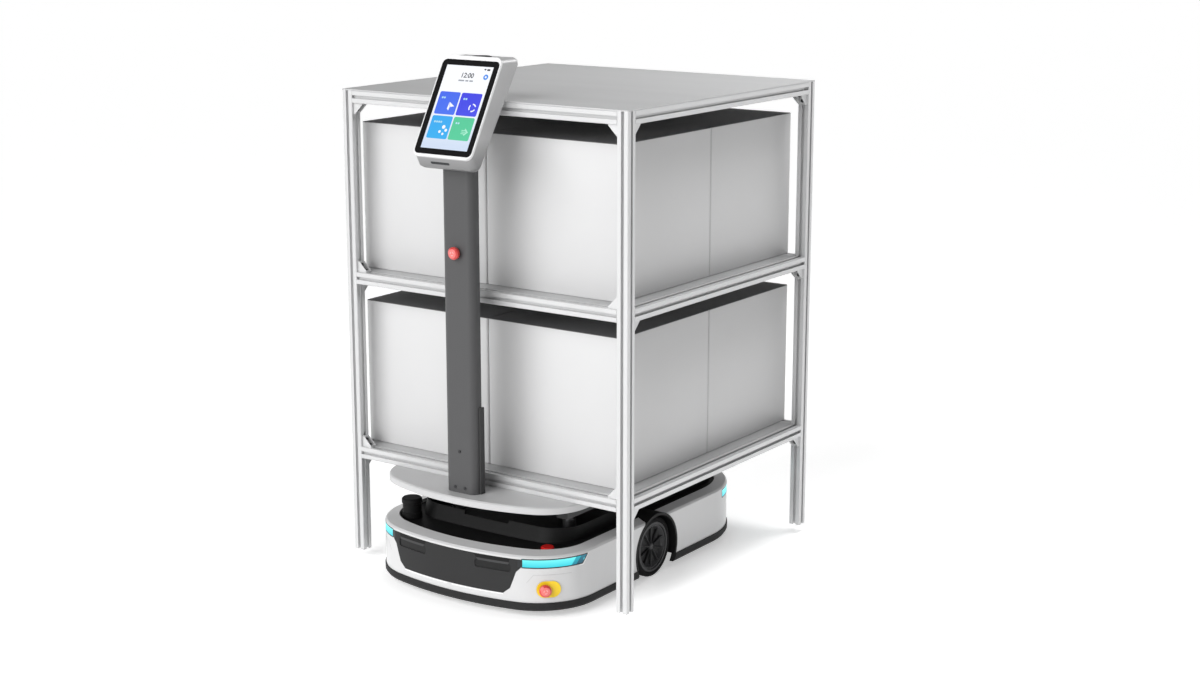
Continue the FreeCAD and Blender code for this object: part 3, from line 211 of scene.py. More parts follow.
def make_materials():
    """One material for each slot of the record, then those of the trim."""
    brushed = dict(grain=260.0, bump=0.03, vary=0.04)
    return {
        "profile_aluminium": surface("Anodised profile", (0.62, 0.622, 0.626), 0.34, metal=0.35,
                                     stretch=(1, 1, 0.06), **brushed),
        "panel_aluminium": surface("Satin sheet", (0.52, 0.522, 0.526), 0.4, metal=0.35,
                                   stretch=(0.08, 1, 1), **brushed),
        "bracket_gray": surface("Cast bracket", (0.62, 0.622, 0.625), 0.42, metal=0.35,
                                bump=0.1),
        "screw_steel": surface("Blackened steel", (0.05, 0.05, 0.053), 0.35, metal=0.7),
        "tote_white": surface("Tote plastic", (0.58, 0.58, 0.583), 0.45, grain=900, bump=0.04,
                              vary=0.008),
        "tote_lid": surface("Lid plastic", (0.14, 0.14, 0.142), 0.7, grain=700, bump=0.1,
                            shine=0.3),
        "shell_white": surface("Shell lacquer", (0.58, 0.58, 0.584), 0.3, coat=0.35, bump=0.01,
                               vary=0.006),
        "trim_charcoal": surface("Charcoal trim", (0.017, 0.017, 0.0175), 0.5, bump=0.06,
                                 shine=0.28),
        "window_smoke": surface("Smoked window", (0.009, 0.009, 0.0093), 0.4, bump=0.0,
                                shine=0.25),
        "light_cyan": glowing("Cyan light", (0.0, 0.66, 0.78), (0.17, 0.98, 1.0), 1.0,
                              span=LIGHT_SPAN),
        "bumper_black": surface("Bumper rubber", (0.02, 0.02, 0.0205), 0.6, bump=0.12,
                                shine=0.15),
        "tray_black": surface("Black moulding", (0.0068, 0.0068, 0.007), 0.5, bump=0.06,
                              shine=0.14),
        "lens_red": surface("Red lens", (0.62, 0.01, 0.008), 0.16, coat=0.7, bump=0.0),
        "stop_yellow": surface("Stop yellow", (0.86, 0.6, 0.012), 0.42, bump=0.03, vary=0.02),
        "stop_red": surface("Stop red", (0.6, 0.05, 0.045), 0.3, coat=0.4, bump=0.02),
        "frame_steel": surface("Black powder coat", (0.014, 0.014, 0.015), 0.5, bump=0.2),
        "deck_white": surface("Deck coat", (0.5, 0.5, 0.504), 0.34, grain=700, bump=0.04,
                              vary=0.012),
        "machine_steel": surface("Machined steel", (0.3, 0.3, 0.31), 0.32, metal=0.95,
                                 stretch=(1, 1, 0.1), grain=500),
        "battery_case": surface("Battery case", (0.12, 0.125, 0.14), 0.45, metal=0.6),
        "tyre_black": surface("Tyre rubber", (0.008, 0.008, 0.0083), 0.7, bump=0.25, shine=0.07),
        "hub_dark": surface("Hub casting", (0.026, 0.026, 0.0275), 0.36, metal=0.2, bump=0.05,
                            shine=0.35),
        "caster_rubber": surface("Caster rubber", (0.07, 0.07, 0.073), 0.6, bump=0.15),
        "column_gray": surface("Column coat", (0.07, 0.07, 0.072), 0.42, grain=900, bump=0.08,
                               shine=0.35, vary=0.015),
        "head_silver": surface("Silver housing", (0.43, 0.43, 0.434), 0.36, metal=0.15,
                               grain=1100, bump=0.03, vary=0.008),
        "head_white": surface("White bezel", (0.8, 0.8, 0.804), 0.26, coat=0.3, bump=0.01,
                              vary=0.004),
        "glass_black": surface("Black glass", (0.006, 0.006, 0.0065), 0.07, bump=0.0, vary=0.1),
        "display_lit": glowing("Lit display", (0.62, 0.72, 0.88), (0.94, 0.96, 1.0), 1.0,
                               span=PAGE_SPAN),
        "bracket_dark": surface("Column bracket", (0.04, 0.04, 0.041), 0.45, bump=0.06,
                                shine=0.3),
        "pocket_painted_shade": surface("Pocket painted shade", (0.006, 0.006, 0.0062), 0.5, bump=0.02,
                               shine=0.2),
        "pocket_painted_lit_lip": surface("Pocket lip painted light", (0.04, 0.04, 0.041), 0.45, bump=0.02, shine=0.3),
        "painted_shade_line": surface("Painted shade edge", (0.47, 0.47, 0.475), 0.4, bump=0.01, vary=0.01),
        "hub_web_painted_shade": surface("Hub recess painted shade", (0.008, 0.008, 0.0085), 0.5, bump=0.04, shine=0.2),
        "stop_face_highlight": surface("Stop cap painted highlight", (0.78, 0.16, 0.15), 0.34, coat=0.3, bump=0.02),
        "stop_mark": surface("Stop arrows", (0.85, 0.42, 0.4), 0.4, bump=0.02),
        "painted_highlight_line": surface("Painted highlight edging", (0.86, 0.86, 0.86), 0.35, bump=0.01, vary=0.01),
        "light_edge": surface("Light surround", (0.008, 0.01, 0.012), 0.3, bump=0.02),
        "light_deep": glowing("Deep light", (0.0, 0.08, 0.14), (0.0, 0.2, 0.3), 0.9,
                              span=LIGHT_SPAN),
        "light_mid": glowing("Middle light", (0.0, 0.26, 0.38), (0.01, 0.5, 0.62), 0.9,
                             span=LIGHT_SPAN),
    }


MATERIALS = make_materials()
# painted shade: the head's silver housing is darkened towards its foot
shade_foot(MATERIALS["head_silver"], 0.04, 0.5, 0.3)


def dress_nodes():
    """Gives every CAD node the material of its slot, and the column's bracket a darker one."""
    for name, node in NODES.items():
        node.data.materials.clear()
        look = "bracket_dark" if name == "column_bracket" else SLOT_OF[name]
        node.data.materials.append(MATERIALS[look])


# ------------------------------------------------------------------ piece helpers
def piece(name, bm, body, slot, material=None, place=None):
    """Turns a bmesh into a smooth-shaded piece that rides on a body, sharp past SMOOTH."""
    if place is not None:
        bmesh.ops.transform(bm, matrix=place, verts=bm.verts)
    bmesh.ops.recalc_face_normals(bm, faces=bm.faces)
    mesh = bpy.data.meshes.new(name)
    bm.to_mesh(mesh)
    bm.free()
    obj = bpy.data.objects.new(name, mesh)
    bpy.context.scene.collection.objects.link(obj)
    mesh.materials.append(material or MATERIALS[slot])
    for polygon in mesh.polygons:
        polygon.use_smooth = True
    mesh.set_sharp_from_angle(angle=SMOOTH)
    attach(obj, body)
    return obj


def prism(outline, depth):
    """A bmesh slab from a closed outline in the XZ plane, growing by depth along +Y."""
    bm = bmesh.new()
    near = [bm.verts.new((x, 0, z)) for x, z in outline]
    far = [bm.verts.new((x, depth, z)) for x, z in outline]
    bm.faces.new(near)
    bm.faces.new(list(reversed(far)))
    for i in range(len(outline)):
        j = (i + 1) % len(outline)
        bm.faces.new((near[i], near[j], far[j], far[i]))
    return bm


def rounded(x0, x1, z0, z1, radius, steps=6):
    """A closed rectangle outline with round corners."""
    points = []
    corners = [(x1 - radius, z1 - radius, 0), (x0 + radius, z1 - radius, 90),
               (x0 + radius, z0 + radius, 180), (x1 - radius, z0 + radius, 270)]
    for cx, cz, start in corners:
        for n in range(steps + 1):
            angle = math.radians(start + 90.0 * n / steps)
            points.append((cx + radius * math.cos(angle), cz + radius * math.sin(angle)))
    return points


def disc(x, z, radius, steps=24, sweep=(0.0, 360.0)):
    """The outline of a circle, or the points of an arc of it."""
    first, last = (math.radians(a) for a in sweep)
    count = steps if sweep[1] - sweep[0] >= 360 else steps + 1
    return [(x + radius * math.cos(first + (last - first) * n / steps),
             z + radius * math.sin(first + (last - first) * n / steps)) for n in range(count)]


def arc_band(x, z, inner, outer, start, end, steps=14):
    """An outline for a piece of a ring."""
    out = disc(x, z, outer, steps, (start, end))
    back = disc(x, z, inner, steps, (start, end))
    return out + back[::-1]


def lathe(profile, steps=64):
    """A bmesh turned about the Y axis from (radius, y) points; ends on the axis are closed."""
    bm = bmesh.new()
    rings = []
    for radius, y in profile:
        if radius == 0:
            rings.append([bm.verts.new((0, y, 0))])
            continue
        turn = [2 * math.pi * n / steps for n in range(steps)]
        rings.append([bm.verts.new((radius * math.cos(a), y, radius * math.sin(a)))
                      for a in turn])
    for one, two in zip(rings, rings[1:]):
        for n in range(steps):
            m = (n + 1) % steps
            quad = [one[n % len(one)], one[m % len(one)], two[m % len(two)], two[n % len(two)]]
            bm.faces.new(list(dict.fromkeys(quad)))
    return bm


def bridge(sections):
    """A bmesh skin through closed sections with equal counts, capped at both ends."""
    return add_skin(bmesh.new(), sections)


def add_skin(bm, sections):
    """Adds such a skin to a bmesh that may hold others."""
    rings = [[bm.verts.new(p) for p in section] for section in sections]
    for one, two in zip(rings, rings[1:]):
        for n in range(len(one)):
            m = (n + 1) % len(one)
            bm.faces.new((one[n], one[m], two[m], two[n]))
    bm.faces.new(rings[0])
    bm.faces.new(list(reversed(rings[-1])))
    return bm


def frame_at(origin, inward, up=Vector((0, 0, 1))):
    """A place whose local Y runs inward, Z nearest to up, X to the right seen from outside."""
    y = Vector(inward).normalized()
    x = y.cross(up).normalized()
    z = x.cross(y)
    turn = Matrix((x, y, z)).transposed().to_4x4()
    return Matrix.Translation(origin) @ turn


def skin_of(node):
    """A search tree over a CAD node's surface."""
    obj = NODES[node]
    points = [obj.matrix_world @ v.co for v in obj.data.vertices]
    return BVHTree.FromPolygons(points, [list(p.vertices) for p in obj.data.polygons])


def on_node(node, start, direction):
    """The place where a ray meets a CAD node, facing out of its surface."""
    spot, normal, _, _ = skin_of(node).ray_cast(start, direction)
    return frame_at(spot, -normal)


# ------------------------------------------------------------------ the shell's wall
class Wall:
    """One corner of the shell's upright wall, measured along it from the nose or the tail."""

    def __init__(self, side, end):
        low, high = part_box("outer_shell")
        self.side = side
        edge = low.y if end < 0 else high.y
        core = Vector((0, edge - end * WALL_CORE, WALL_Z))
        skin = skin_of("outer_shell")
        self.points = []
        self.reach = [0.0]
        for n in range(WALL_STEPS + 1):
            angle = math.radians(90 - 90 * n / WALL_STEPS)
            out = Vector((side * math.cos(angle), end * math.sin(angle), 0))
            spot = skin.ray_cast(core + 2 * out, -out)[0]
            if self.points:
                self.reach.append(self.reach[-1] + (spot - self.points[-1]).length)
            self.points.append(spot)

    def along(self, spot):
        """How far along the wall the nearest point to spot lies."""
        flat = Vector((spot[0], spot[1], WALL_Z))
        near = min(range(len(self.points)), key=lambda n: (self.points[n] - flat).length)
        best = self.reach[near]
        for n in (near - 1, near):
            if 0 <= n < len(self.points) - 1:
                step = self.points[n + 1] - self.points[n]
                share = (flat - self.points[n]).dot(step) / step.length_squared
                if 0 <= share <= 1:
                    best = self.reach[n] + share * step.length
        return best

    def at(self, s, z, lift):
        """The point at s along the wall and height z, lifted off its surface."""
        n = 0
        while n < len(self.points) - 2 and self.reach[n + 1] < s:
            n += 1
        step = self.points[n + 1] - self.points[n]
        spot = self.points[n] + step * ((s - self.reach[n]) / step.length)
        out = step.cross(Vector((0, 0, 1))).normalized()
        if out.x * self.side + out.y * (1 if spot.y > 0 else -1) < 0:
            out = -out
        spot = spot + out * lift
        return (spot.x, spot.y, z)


def wall_strip(name, wall, lows, highs, material, slot="outer_shell", closed=False):
    """A thin strip on the wall between two matching lists of (along, height) points."""
    sections = []
    for a, b in zip(lows, highs):
        sections.append([wall.at(*a, -WALL_LIFT), wall.at(*a, WALL_LIFT),
                         wall.at(*b, WALL_LIFT), wall.at(*b, -WALL_LIFT)])
    if not closed:
        return piece(name, bridge(sections), "chassis", SLOT_OF[slot], MATERIALS[material])
    bm = bmesh.new()
    rings = [[bm.verts.new(p) for p in section] for section in sections]
    for one, two in zip(rings, rings[1:] + rings[:1]):
        for n in range(4):
            m = (n + 1) % 4
            bm.faces.new((one[n], one[m], two[m], two[n]))
    return piece(name, bm, "chassis", SLOT_OF[slot], MATERIALS[material])


def fine(path, closed, step=0.003):
    """The same path with points no more than step apart."""
    ends = path[1:] + path[:1] if closed else path[1:]
    points = []
    for (s0, z0), (s1, z1) in zip(path, ends):
        count = max(1, math.ceil(math.hypot(s1 - s0, z1 - z0) / step))
        points += [(s0 + (s1 - s0) * k / count, z0 + (z1 - z0) * k / count)
                   for k in range(count)]
    return points if closed else points + [path[-1]]


def wall_line(name, wall, path, width, material, closed=False, slot="outer_shell"):
    """A raised line of even width along a path on the wall."""
    points = fine(path, closed)
    lows, highs = [], []
    for n, (s, z) in enumerate(points):
        before = points[n - 1] if n or closed else points[n]
        after = points[(n + 1) % len(points)] if n + 1 < len(points) or closed else points[n]
        run, rise = after[0] - before[0], after[1] - before[1]
        size = math.hypot(run, rise)
        off_s, off_z = -rise / size * width / 2, run / size * width / 2
        lows.append((s - off_s, z - off_z))
        highs.append((s + off_s, z + off_z))
    return wall_strip(name, wall, lows, highs, material, slot, closed)


# ------------------------------------------------------------------ base trim
def light_outline(wall, side, end):
    """The four corners of a corner light on its wall: low and high inner ends, outer ends."""
    obj = NODES["light_strips"]
    points = [obj.matrix_world @ v.co for v in obj.data.vertices]
    low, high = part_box("light_strips")
    mine = [p for p in points if p.x * side > 0 and p.y * end > 0]
    corners = []
    for z in (low.z, high.z):
        spans = [wall.along(p) for p in mine if abs(p.z - z) < 0.0002]
        corners.append((min(spans), max(spans), z))
    return corners


def light_trim(side, end):
    """A dark line round a corner light, its deeper facets and the painted highlight past them."""
    name = "%s_%s" % ("front" if end < 0 else "rear", "left" if side < 0 else "right")
    wall = WALLS[side, end]
    (in_low, out_low, low), (in_high, out_high, high) = light_outline(wall, side, end)
    out = LIGHT_OUT
    wall_line("light_line_" + name, wall,
              [(in_low - out, low - out), (out_low + out, low - out),
               (out_high + out, high + out), (in_high - out, high + out)],
              LIGHT_LINE, "light_edge", closed=True, slot="light_strips")
    if end > 0:
        return
    for look, first, last in (("light_mid", 0.80, 0.885), ("light_deep", 0.885, 1.0)):
        shares = [first + (last - first) * k / 8 for k in range(9)]
        lows = [(in_low + (out_low - in_low) * t, low) for t in shares]
        highs = [(in_high + (out_high - in_high) * t, high) for t in shares]
        wall_strip(look + "_" + name, wall, lows, highs, look, "light_strips")
    # painted highlight: a pale line on the shell's edge past the light's outer end
    wall_line("light_painted_highlight_" + name, wall,
              [(out_low - 0.008, low - GLEAM_OUT), (out_low + GLEAM_OUT, low - GLEAM_OUT),
               (out_high + GLEAM_OUT, high + 0.001)], GLEAM_LINE, "painted_highlight_line")


def panel_trim(side):
    """Trim beside a front light: seam to the panel, camera pocket in painted shade and light, a
    painted highlight line at the panel's foot, a painted shade line at a soft step.
    """
    name = "left" if side < 0 else "right"
    wall = WALLS[side, -1]
    (in_low, out_low, low), (in_high, _, high) = light_outline(wall, side, -1)
    edge = wall.along((side * PANEL_SIDE, SHELL_FRONT))
    wall_strip("panel_seam_" + name, wall,
               [(edge, low - 0.001), (in_low, low)], [(edge, high), (in_high, high)],
               "light_edge")
    pocket(wall, side)
    # painted highlight: a pale line on the shell's edge along the panel's foot
    border = [(wall.along((side * (half + PANEL_BORDER), SHELL_FRONT)), z)
              for half, z in PANEL_FOOT]
    wall_line("panel_border_" + name, wall, border, 0.0024, "painted_highlight_line")
    # painted shade: a soft grey line where the shell steps in below the light
    wall_line("step_shade_line_" + name, wall,
              [(in_low + 0.010, low - 0.037), (in_low + 0.026, low - 0.018),
               (out_low - 0.030, low - 0.018)], 0.0014, "painted_shade_line")


def pocket(wall, side):
    """Painted shade and light for the shallow pocket over a front camera, open to the panel's top
    edge: flat strips on the wall, dark above and lighter at the lip.
    """
    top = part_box("front_panel")[1].z - 0.0006
    inner, outer = (wall.along((side * x, SHELL_FRONT)) for x in (POCKET_INNER, POCKET_OUTER))
    name = "pocket_%s_" % ("left" if side < 0 else "right")
    levels = [(0.0, 0.0), (POCKET_DEPTH * POCKET_SHADE, 0.0065), (POCKET_DEPTH, 0.011)]
    shares = [k / 12 for k in range(13)]
    # painted shade in the pocket's upper part, painted light on its lower lip
    for part, look, level in (("shade", "pocket_painted_shade", 0), ("lip", "pocket_painted_lit_lip", 1)):
        highs, lows = [[(inner + slant + (outer - inner - 1.35 * slant) * t, top - foot)
                        for t in shares] for foot, slant in levels[level:level + 2]]
        wall_strip(name + part, wall, lows, highs, look, "front_panel")


def stop_plate_line():
    """A painted shade line round the yellow plate of the base stop."""
    wall = WALLS[1, -1]
    low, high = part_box("stop_plate")
    middle = wall.along((low + high) / 2)
    z = (low.z + high.z) / 2
    path = []
    for start, shift in ((-90, PILL_HALF), (90, -PILL_HALF)):
        for k in range(13):
            turn = math.radians(start + 15 * k)
            path.append((middle + shift + PILL_RADIUS * math.cos(turn),
                         z + PILL_RADIUS * math.sin(turn)))
    wall_line("stop_plate_line", wall, path, 0.0018, "painted_shade_line", closed=True)


def stop_caps():
    """The face of each stop button painted paler as a highlight, and its turn arrows."""
    for node, body in (("column_stop_button", "column_stop"), ("base_stop_button", "base_stop")):
        place = button_place(node, body)
        # painted highlight: a paler red disc on the button's face
        cap = lathe([(0, -0.0003), (0.0066, -0.0003), (0.0104, 0.0004), (CAP_RADIUS, 0.0009)], 40)
        piece(body + "_cap", cap, body, "stop_red", MATERIALS["stop_face_highlight"], place=place)
        for n in range(3):
            arc = arc_band(0, 0, 0.0036, 0.0052, 120 * n, 120 * n + 78, 10)
            lift = Matrix.Translation((0, -0.00055, 0))
            piece("%s_arrow_%d" % (body, n), prism(arc, 0.0004), body, "stop_red",
                  MATERIALS["stop_mark"], place=place @ lift)


def button_place(node, body):
    """The middle of a button's face, its local Y running the way it is pressed."""
    joint = next(j for j in frame["record"]["behaviour"]["joints"] if j["child"] == body)
    inward = Vector(joint["axis"]).normalized()
    obj = NODES[node]
    points = [obj.matrix_world @ v.co for v in obj.data.vertices]
    tip = min(p.dot(inward) for p in points)
    across = inward.cross(Vector((0, 0, 1)))
    face = [p for p in points if p.dot(inward) < tip + 0.0002]
    u = [p.dot(across) for p in face]
    z = [p.z for p in face]
    middle = across * ((min(u) + max(u)) / 2) + inward * tip
    return frame_at(Vector((middle.x, middle.y, (min(z) + max(z)) / 2)), inward)


# ------------------------------------------------------------------ wheels
def wheels():
    """The drive wheels' tyres and hubs, each with a ring of painted shade on the web between its
    spokes.
    """
    for body, side in (("wheel_left", -1), ("wheel_right", 1)):
        hand = body[6:]
        low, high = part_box("tyre_" + hand)
        width = high.x - low.x
        radius = (high.z - low.z) / 2
        face = high.x if side > 0 else low.x
        centre = Vector((face, (low.y + high.y) / 2, (low.z + high.z) / 2))
        place = frame_at(centre, Vector((-side, 0, 0)))
        tyre = piece(body + "_tyre", lathe(tyre_profile(radius, width), 96), body,
                     "tyre_black", place=place)
        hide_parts("tyre_" + hand)
        # painted shade: a darker ring over the web between the spokes
        web = [(DISH_RADIUS - 0.0025, WEB_FACE), (0.009, WEB_FACE)]
        piece(body + "_web", lathe(web, 64), body, "hub_dark", MATERIALS["hub_web_painted_shade"], place=place)
        rim = piece(body + "_hub", hub_mesh(width), body, "hub_dark", place=place)
        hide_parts("hub_" + hand)


def tyre_profile(radius, width):
    """Round shoulders, a step in the side wall and three grooves in the tread."""
    inner = HUB_RADIUS
    side = [(inner, 0.0008), (inner + 0.0015, 0.0), (inner + 0.0055, 0.0),
            (inner + 0.0062, 0.0007), (inner + 0.0085, 0.0009), (radius - 0.0012, 0.0028),
            (radius, 0.0058)]
    tread = []
    for share in (0.3, 0.5, 0.7):
        y = width * share
        tread += [(radius, y - 0.0014), (radius - 0.0014, y - 0.0009),
                  (radius - 0.0014, y + 0.0009), (radius, y + 0.0014)]
    back = [(r, width - y) for r, y in reversed(side)]
    return side + tread + back + side[:1]


def hub_mesh(width):
    """A rim, a dish ring and a web in one turned skin, with raised spokes and a cap."""
    bm = lathe([(0, 0.0052), (0.0058, 0.0054), (0.0078, 0.0064), (0.0098, 0.0098),
                (0.0112, HUB_WEB), (SPOKE_REACH - 0.001, HUB_WEB), (DISH_RADIUS - 0.0022, 0.0062),
                (DISH_RADIUS, 0.0034), (DISH_RADIUS + 0.0022, 0.0032),
                (DISH_RADIUS + 0.003, 0.0042), (DISH_RADIUS + 0.0042, 0.0042),
                (DISH_RADIUS + 0.005, 0.0012), (HUB_RADIUS - 0.0016, 0.0006),
                (HUB_RADIUS - 0.0006, 0.0014), (HUB_RADIUS - 0.0002, width - 0.0015),
                (HUB_RADIUS - 0.0066, width - 0.0006), (HUB_RADIUS - 0.0068, 0.021),
                (0.02, 0.021), (0.0196, width - 0.0006), (0, width - 0.0006)], 96)
    spoke = ((SPOKE_ROOT, 0.0009, 0.0062), (0.02, 0.0013, 0.0058),
             (SPOKE_REACH, 0.0019, 0.0058), (DISH_RADIUS - 0.001, 0.0024, 0.0046))
    for n in range(WHEEL_SPOKES):
        turn = Matrix.Rotation(2 * math.pi * n / WHEEL_SPOKES, 4, "Y")
        sections = []
        for z, half, crest in spoke:
            sections.append([turn @ Vector(p) for p in (
                (-half, HUB_WEB + 0.0004, z), (-half * 0.9, crest + 0.0012, z), (0, crest, z),
                (half * 0.9, crest + 0.0012, z), (half, HUB_WEB + 0.0004, z))])
        add_skin(bm, sections)
    return bm


# ------------------------------------------------------------------ head and screen
def head_frame():
    """Places local (x, depth, height) on the display: origin at its lower edge's middle."""
    low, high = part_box("head_display")
    foot = Vector(((low.x + high.x) / 2, low.y, low.z + DISPLAY_THICK * math.sin(HEAD_TILT)))
    return Matrix.Translation(foot) @ Matrix.Rotation(-HEAD_TILT, 4, "X")


HEAD = head_frame()


def display_size():
    """The display's width and its height along the tilted glass."""
    low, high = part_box("head_display")
    rise = high.y - low.y - DISPLAY_THICK * math.cos(HEAD_TILT)
    return high.x - low.x, rise / math.sin(HEAD_TILT)


def on_screen(name, outline, material, layer):
    """A thin printed shape on the screen, layer steps in front of the glass."""
    lift = Matrix.Translation((0, -SCREEN_LIFT * layer, 0))
    return piece(name, prism(outline, SCREEN_LIFT * 0.6), "deck", "display_lit", material,
                 place=HEAD @ lift)


def screen_text(name, words, height, x, z, material, layer, weight):
    """Words on the screen, centred on x, their strokes made bolder by weight."""
    curve = bpy.data.curves.new(name, "FONT")
    curve.body = words
    curve.size = height
    curve.align_x = "CENTER"
    curve.extrude = SCREEN_LIFT * 0.3
    curve.offset = weight
    curve.shear = 0.05
    holder = bpy.data.objects.new(name + ".curve", curve)
    bpy.context.scene.collection.objects.link(holder)
    bpy.context.view_layer.update()
    mesh = bpy.data.meshes.new_from_object(holder)
    bpy.data.objects.remove(holder)
    bm = bmesh.new()
    bm.from_mesh(mesh)
    stand = Matrix.Translation((x, -SCREEN_LIFT * layer, z)) @ Matrix.Rotation(math.pi / 2, 4, "X")
    return piece(name, bm, "deck", "display_lit", material, place=HEAD @ stand)


def screen_color(name, low, high=None):
    """Screen paint: its colour is the light it gives off, from low on the display to high."""
    return glowing("Screen " + name, low, high or low, 1.0, span=PAINT_SPAN)


def screen():
    """A generic home page: clock, date line, status marks and four tiles with simple icons."""
    width, height = display_size()
    half = width / 2
    ink = screen_color("ink", (0.006, 0.007, 0.01))
    pale = screen_color("gray", (0.32, 0.34, 0.38))
    ring_blue = screen_color("ring", (0.05, 0.26, 0.82))
    on_screen("screen_page", rounded(-half, half, 0, height, 0.0012), MATERIALS["display_lit"], 1)
    screen_text("screen_clock", "12:00", 0.0168, 0.0, height * 0.858, ink, 2, 0.00028)
    for n, (start, end) in enumerate(((-0.021, -0.004), (-0.001, 0.008), (0.0105, 0.021))):
        on_screen("screen_date_%d" % n, rounded(start, end, height * 0.812,
                  height * 0.812 + 0.0036, 0.0012), pale, 2)
    status = height - 0.0095
    on_screen("screen_battery", rounded(half - 0.0155, half - 0.007, status, status + 0.0044,
              0.0009), ink, 2)
    on_screen("screen_signal", arc_band(half - 0.0212, status, 0.0004, 0.0048, 45, 135), ink, 2)
    on_screen("screen_ring", disc(half - 0.0135, height * 0.878, 0.0068), ring_blue, 2)
    on_screen("screen_ring_eye", disc(half - 0.0135, height * 0.878, 0.0026),
              MATERIALS["display_lit"], 3)
    tiles(half)


def tiles(half):
    """Four launch tiles, each with two or four marks for a label and an icon."""
    white = screen_color("white", (0.93, 0.95, 1.0))
    soft = screen_color("soft", (0.42, 0.72, 0.85))
    faint = screen_color("faint", (0.36, 0.8, 0.6))
    looks = [("blue", (0.05, 0.19, 0.9), (0.028, 0.09, 0.82), plane_icon, white, 2),
             ("indigo", (0.045, 0.07, 0.86), (0.016, 0.016, 0.72), cycle_icon, white, 2),
             ("sky", (0.01, 0.42, 0.86), (0.012, 0.3, 0.86), cluster_icon, white, 4),
             ("green", (0.07, 0.6, 0.32), (0.06, 0.5, 0.26), return_icon, faint, 2)]
    wide = (2 * half - 2 * TILE_MARGIN - TILE_GAP) / 2
    for n, (name, low, high, icon, mark, letters) in enumerate(looks):
        x = -half + TILE_MARGIN + (n % 2) * (wide + TILE_GAP)
        z = TILE_FOOT + (1 - n // 2) * (TILE_HEIGHT + TILE_GAP)
        on_screen("tile_" + name, rounded(x, x + wide, z, z + TILE_HEIGHT, 0.0042),
                  screen_color(name, low, high), 2)
        for m in range(letters):
            start = x + 0.0088 + m * 0.0062
            on_screen("tile_%s_letter_%d" % (name, m), rounded(start, start + 0.0048,
                      z + TILE_HEIGHT * 0.69, z + TILE_HEIGHT * 0.69 + 0.0046, 0.0014), soft, 3)
        for m, outline in enumerate(icon(x + wide * 0.70, z + TILE_HEIGHT * 0.37)):
            on_screen("tile_%s_icon_%d" % (name, m), outline, mark, 3)


def plane_icon(x, z):
    """A paper plane."""
    s = 0.0105
    return [[(x - s * 0.55, z + s), (x + s, z + s * 0.05), (x - s * 0.05, z - s * 0.15)],
            [(x - s * 0.6, z + s * 0.9), (x - s * 0.15, z - s * 0.2), (x - s * 0.3, z - s),
             (x - s * 0.75, z - s * 0.6)]]


def cycle_icon(x, z):
    """Three arcs of a ring."""
    return [arc_band(x, z, 0.0072, 0.0102, start, start + 76) for start in (20, 140, 260)]


def cluster_icon(x, z):
    """Four spots of different sizes."""
    spots = [(0, 0.0085, 0.0046), (-0.0078, -0.0035, 0.0034), (0.0088, 0.001, 0.0036),
             (0.0025, -0.0085, 0.003)]
    return [disc(x + dx, z + dz, r) for dx, dz, r in spots]


def return_icon(x, z):
    """An arrow head over three bars."""
    s = 0.0095
    bars = [rounded(x - s, x + s * 0.2, z + s * k - 0.001, z + s * k + 0.001, 0.0007)
            for k in (-0.42, 0.0, 0.42)]
    arrow = [(x, z + s), (x + s * 1.1, z), (x, z - s), (x - s * 0.1, z - s * 0.55),
             (x + s * 0.45, z), (x - s * 0.1, z + s * 0.55)]
    return bars + [arrow]


def head_trim():
    """The dark slot in the jaw and the low dome on the housing's level top."""
    start = HEAD @ Vector((-0.011, -0.02, -0.041))
    place = on_node("head_shell", start, (HEAD.to_3x3() @ Vector((0, 1, 0.35))).normalized())
    slot = rounded(-JAW_SLOT_HALF, JAW_SLOT_HALF, -JAW_SLOT_RISE, JAW_SLOT_RISE, 0.003)
    piece("head_jaw_slot", prism(slot, 0.0006), "deck", "glass_black",
          MATERIALS["light_edge"], place=place @ Matrix.Translation((0, -WALL_LIFT, 0)))
    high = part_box("head_shell")[1]
    radius = DOME_RADIUS
    rear = high.y - DOME_REAR - radius
    dome = lathe([(0, -0.0026), (radius * 0.5, -0.0024), (radius * 0.82, -0.0017),
                  (radius * 0.97, -0.0006), (radius, 0.0004)])
    top = frame_at(Vector((0, rear, high.z)), Vector((0, 0, -1)), Vector((0, 1, 0)))
    piece("head_dome", dome, "deck", "trim_charcoal", place=top)


# ------------------------------------------------------------------ bins
def bin_shell(low, high):
    """An open tote: rounded foot, upright walls with a rim, and the hollow inside."""
    def ring(inset, z, radius):
        plan = rounded(low.x + inset, high.x - inset, low.y + inset, high.y - inset, radius)
        return [(x, y, z) for x, y in plan]

    top = high.z - LID_FLANGE - 0.0001
    lip = BIN_LIP
    deep = top - LID_THICK
    return bridge([
        ring(BIN_FOOT, low.z, BIN_CORNER - BIN_FOOT),
        ring(0.0009, low.z + 0.0009, BIN_CORNER - 0.001),
        ring(0, low.z + BIN_FOOT, BIN_CORNER), ring(0, top - lip, BIN_CORNER),
        ring(lip * 0.3, top - lip * 0.3, BIN_CORNER), ring(lip, top, BIN_CORNER - lip),
        ring(BIN_WALL, top, BIN_CORNER - BIN_WALL), ring(BIN_WALL, deep, BIN_CORNER - BIN_WALL)])


def bin_lid(low, high):
    """The lid: a plug inside the walls under a thin flange that covers the rim."""
    def ring(inset, z):
        plan = rounded(low.x + inset, high.x - inset, low.y + inset, high.y - inset,
                       max(BIN_CORNER - inset, 0.001))
        return [(x, y, z) for x, y in plan]

    plug = BIN_WALL + 0.0003
    soft = 0.0004
    return bridge([ring(plug, high.z - LID_THICK), ring(plug, high.z - LID_FLANGE),
                   ring(LID_INSET, high.z - LID_FLANGE), ring(LID_INSET, high.z - soft),
                   ring(LID_INSET + soft, high.z)])


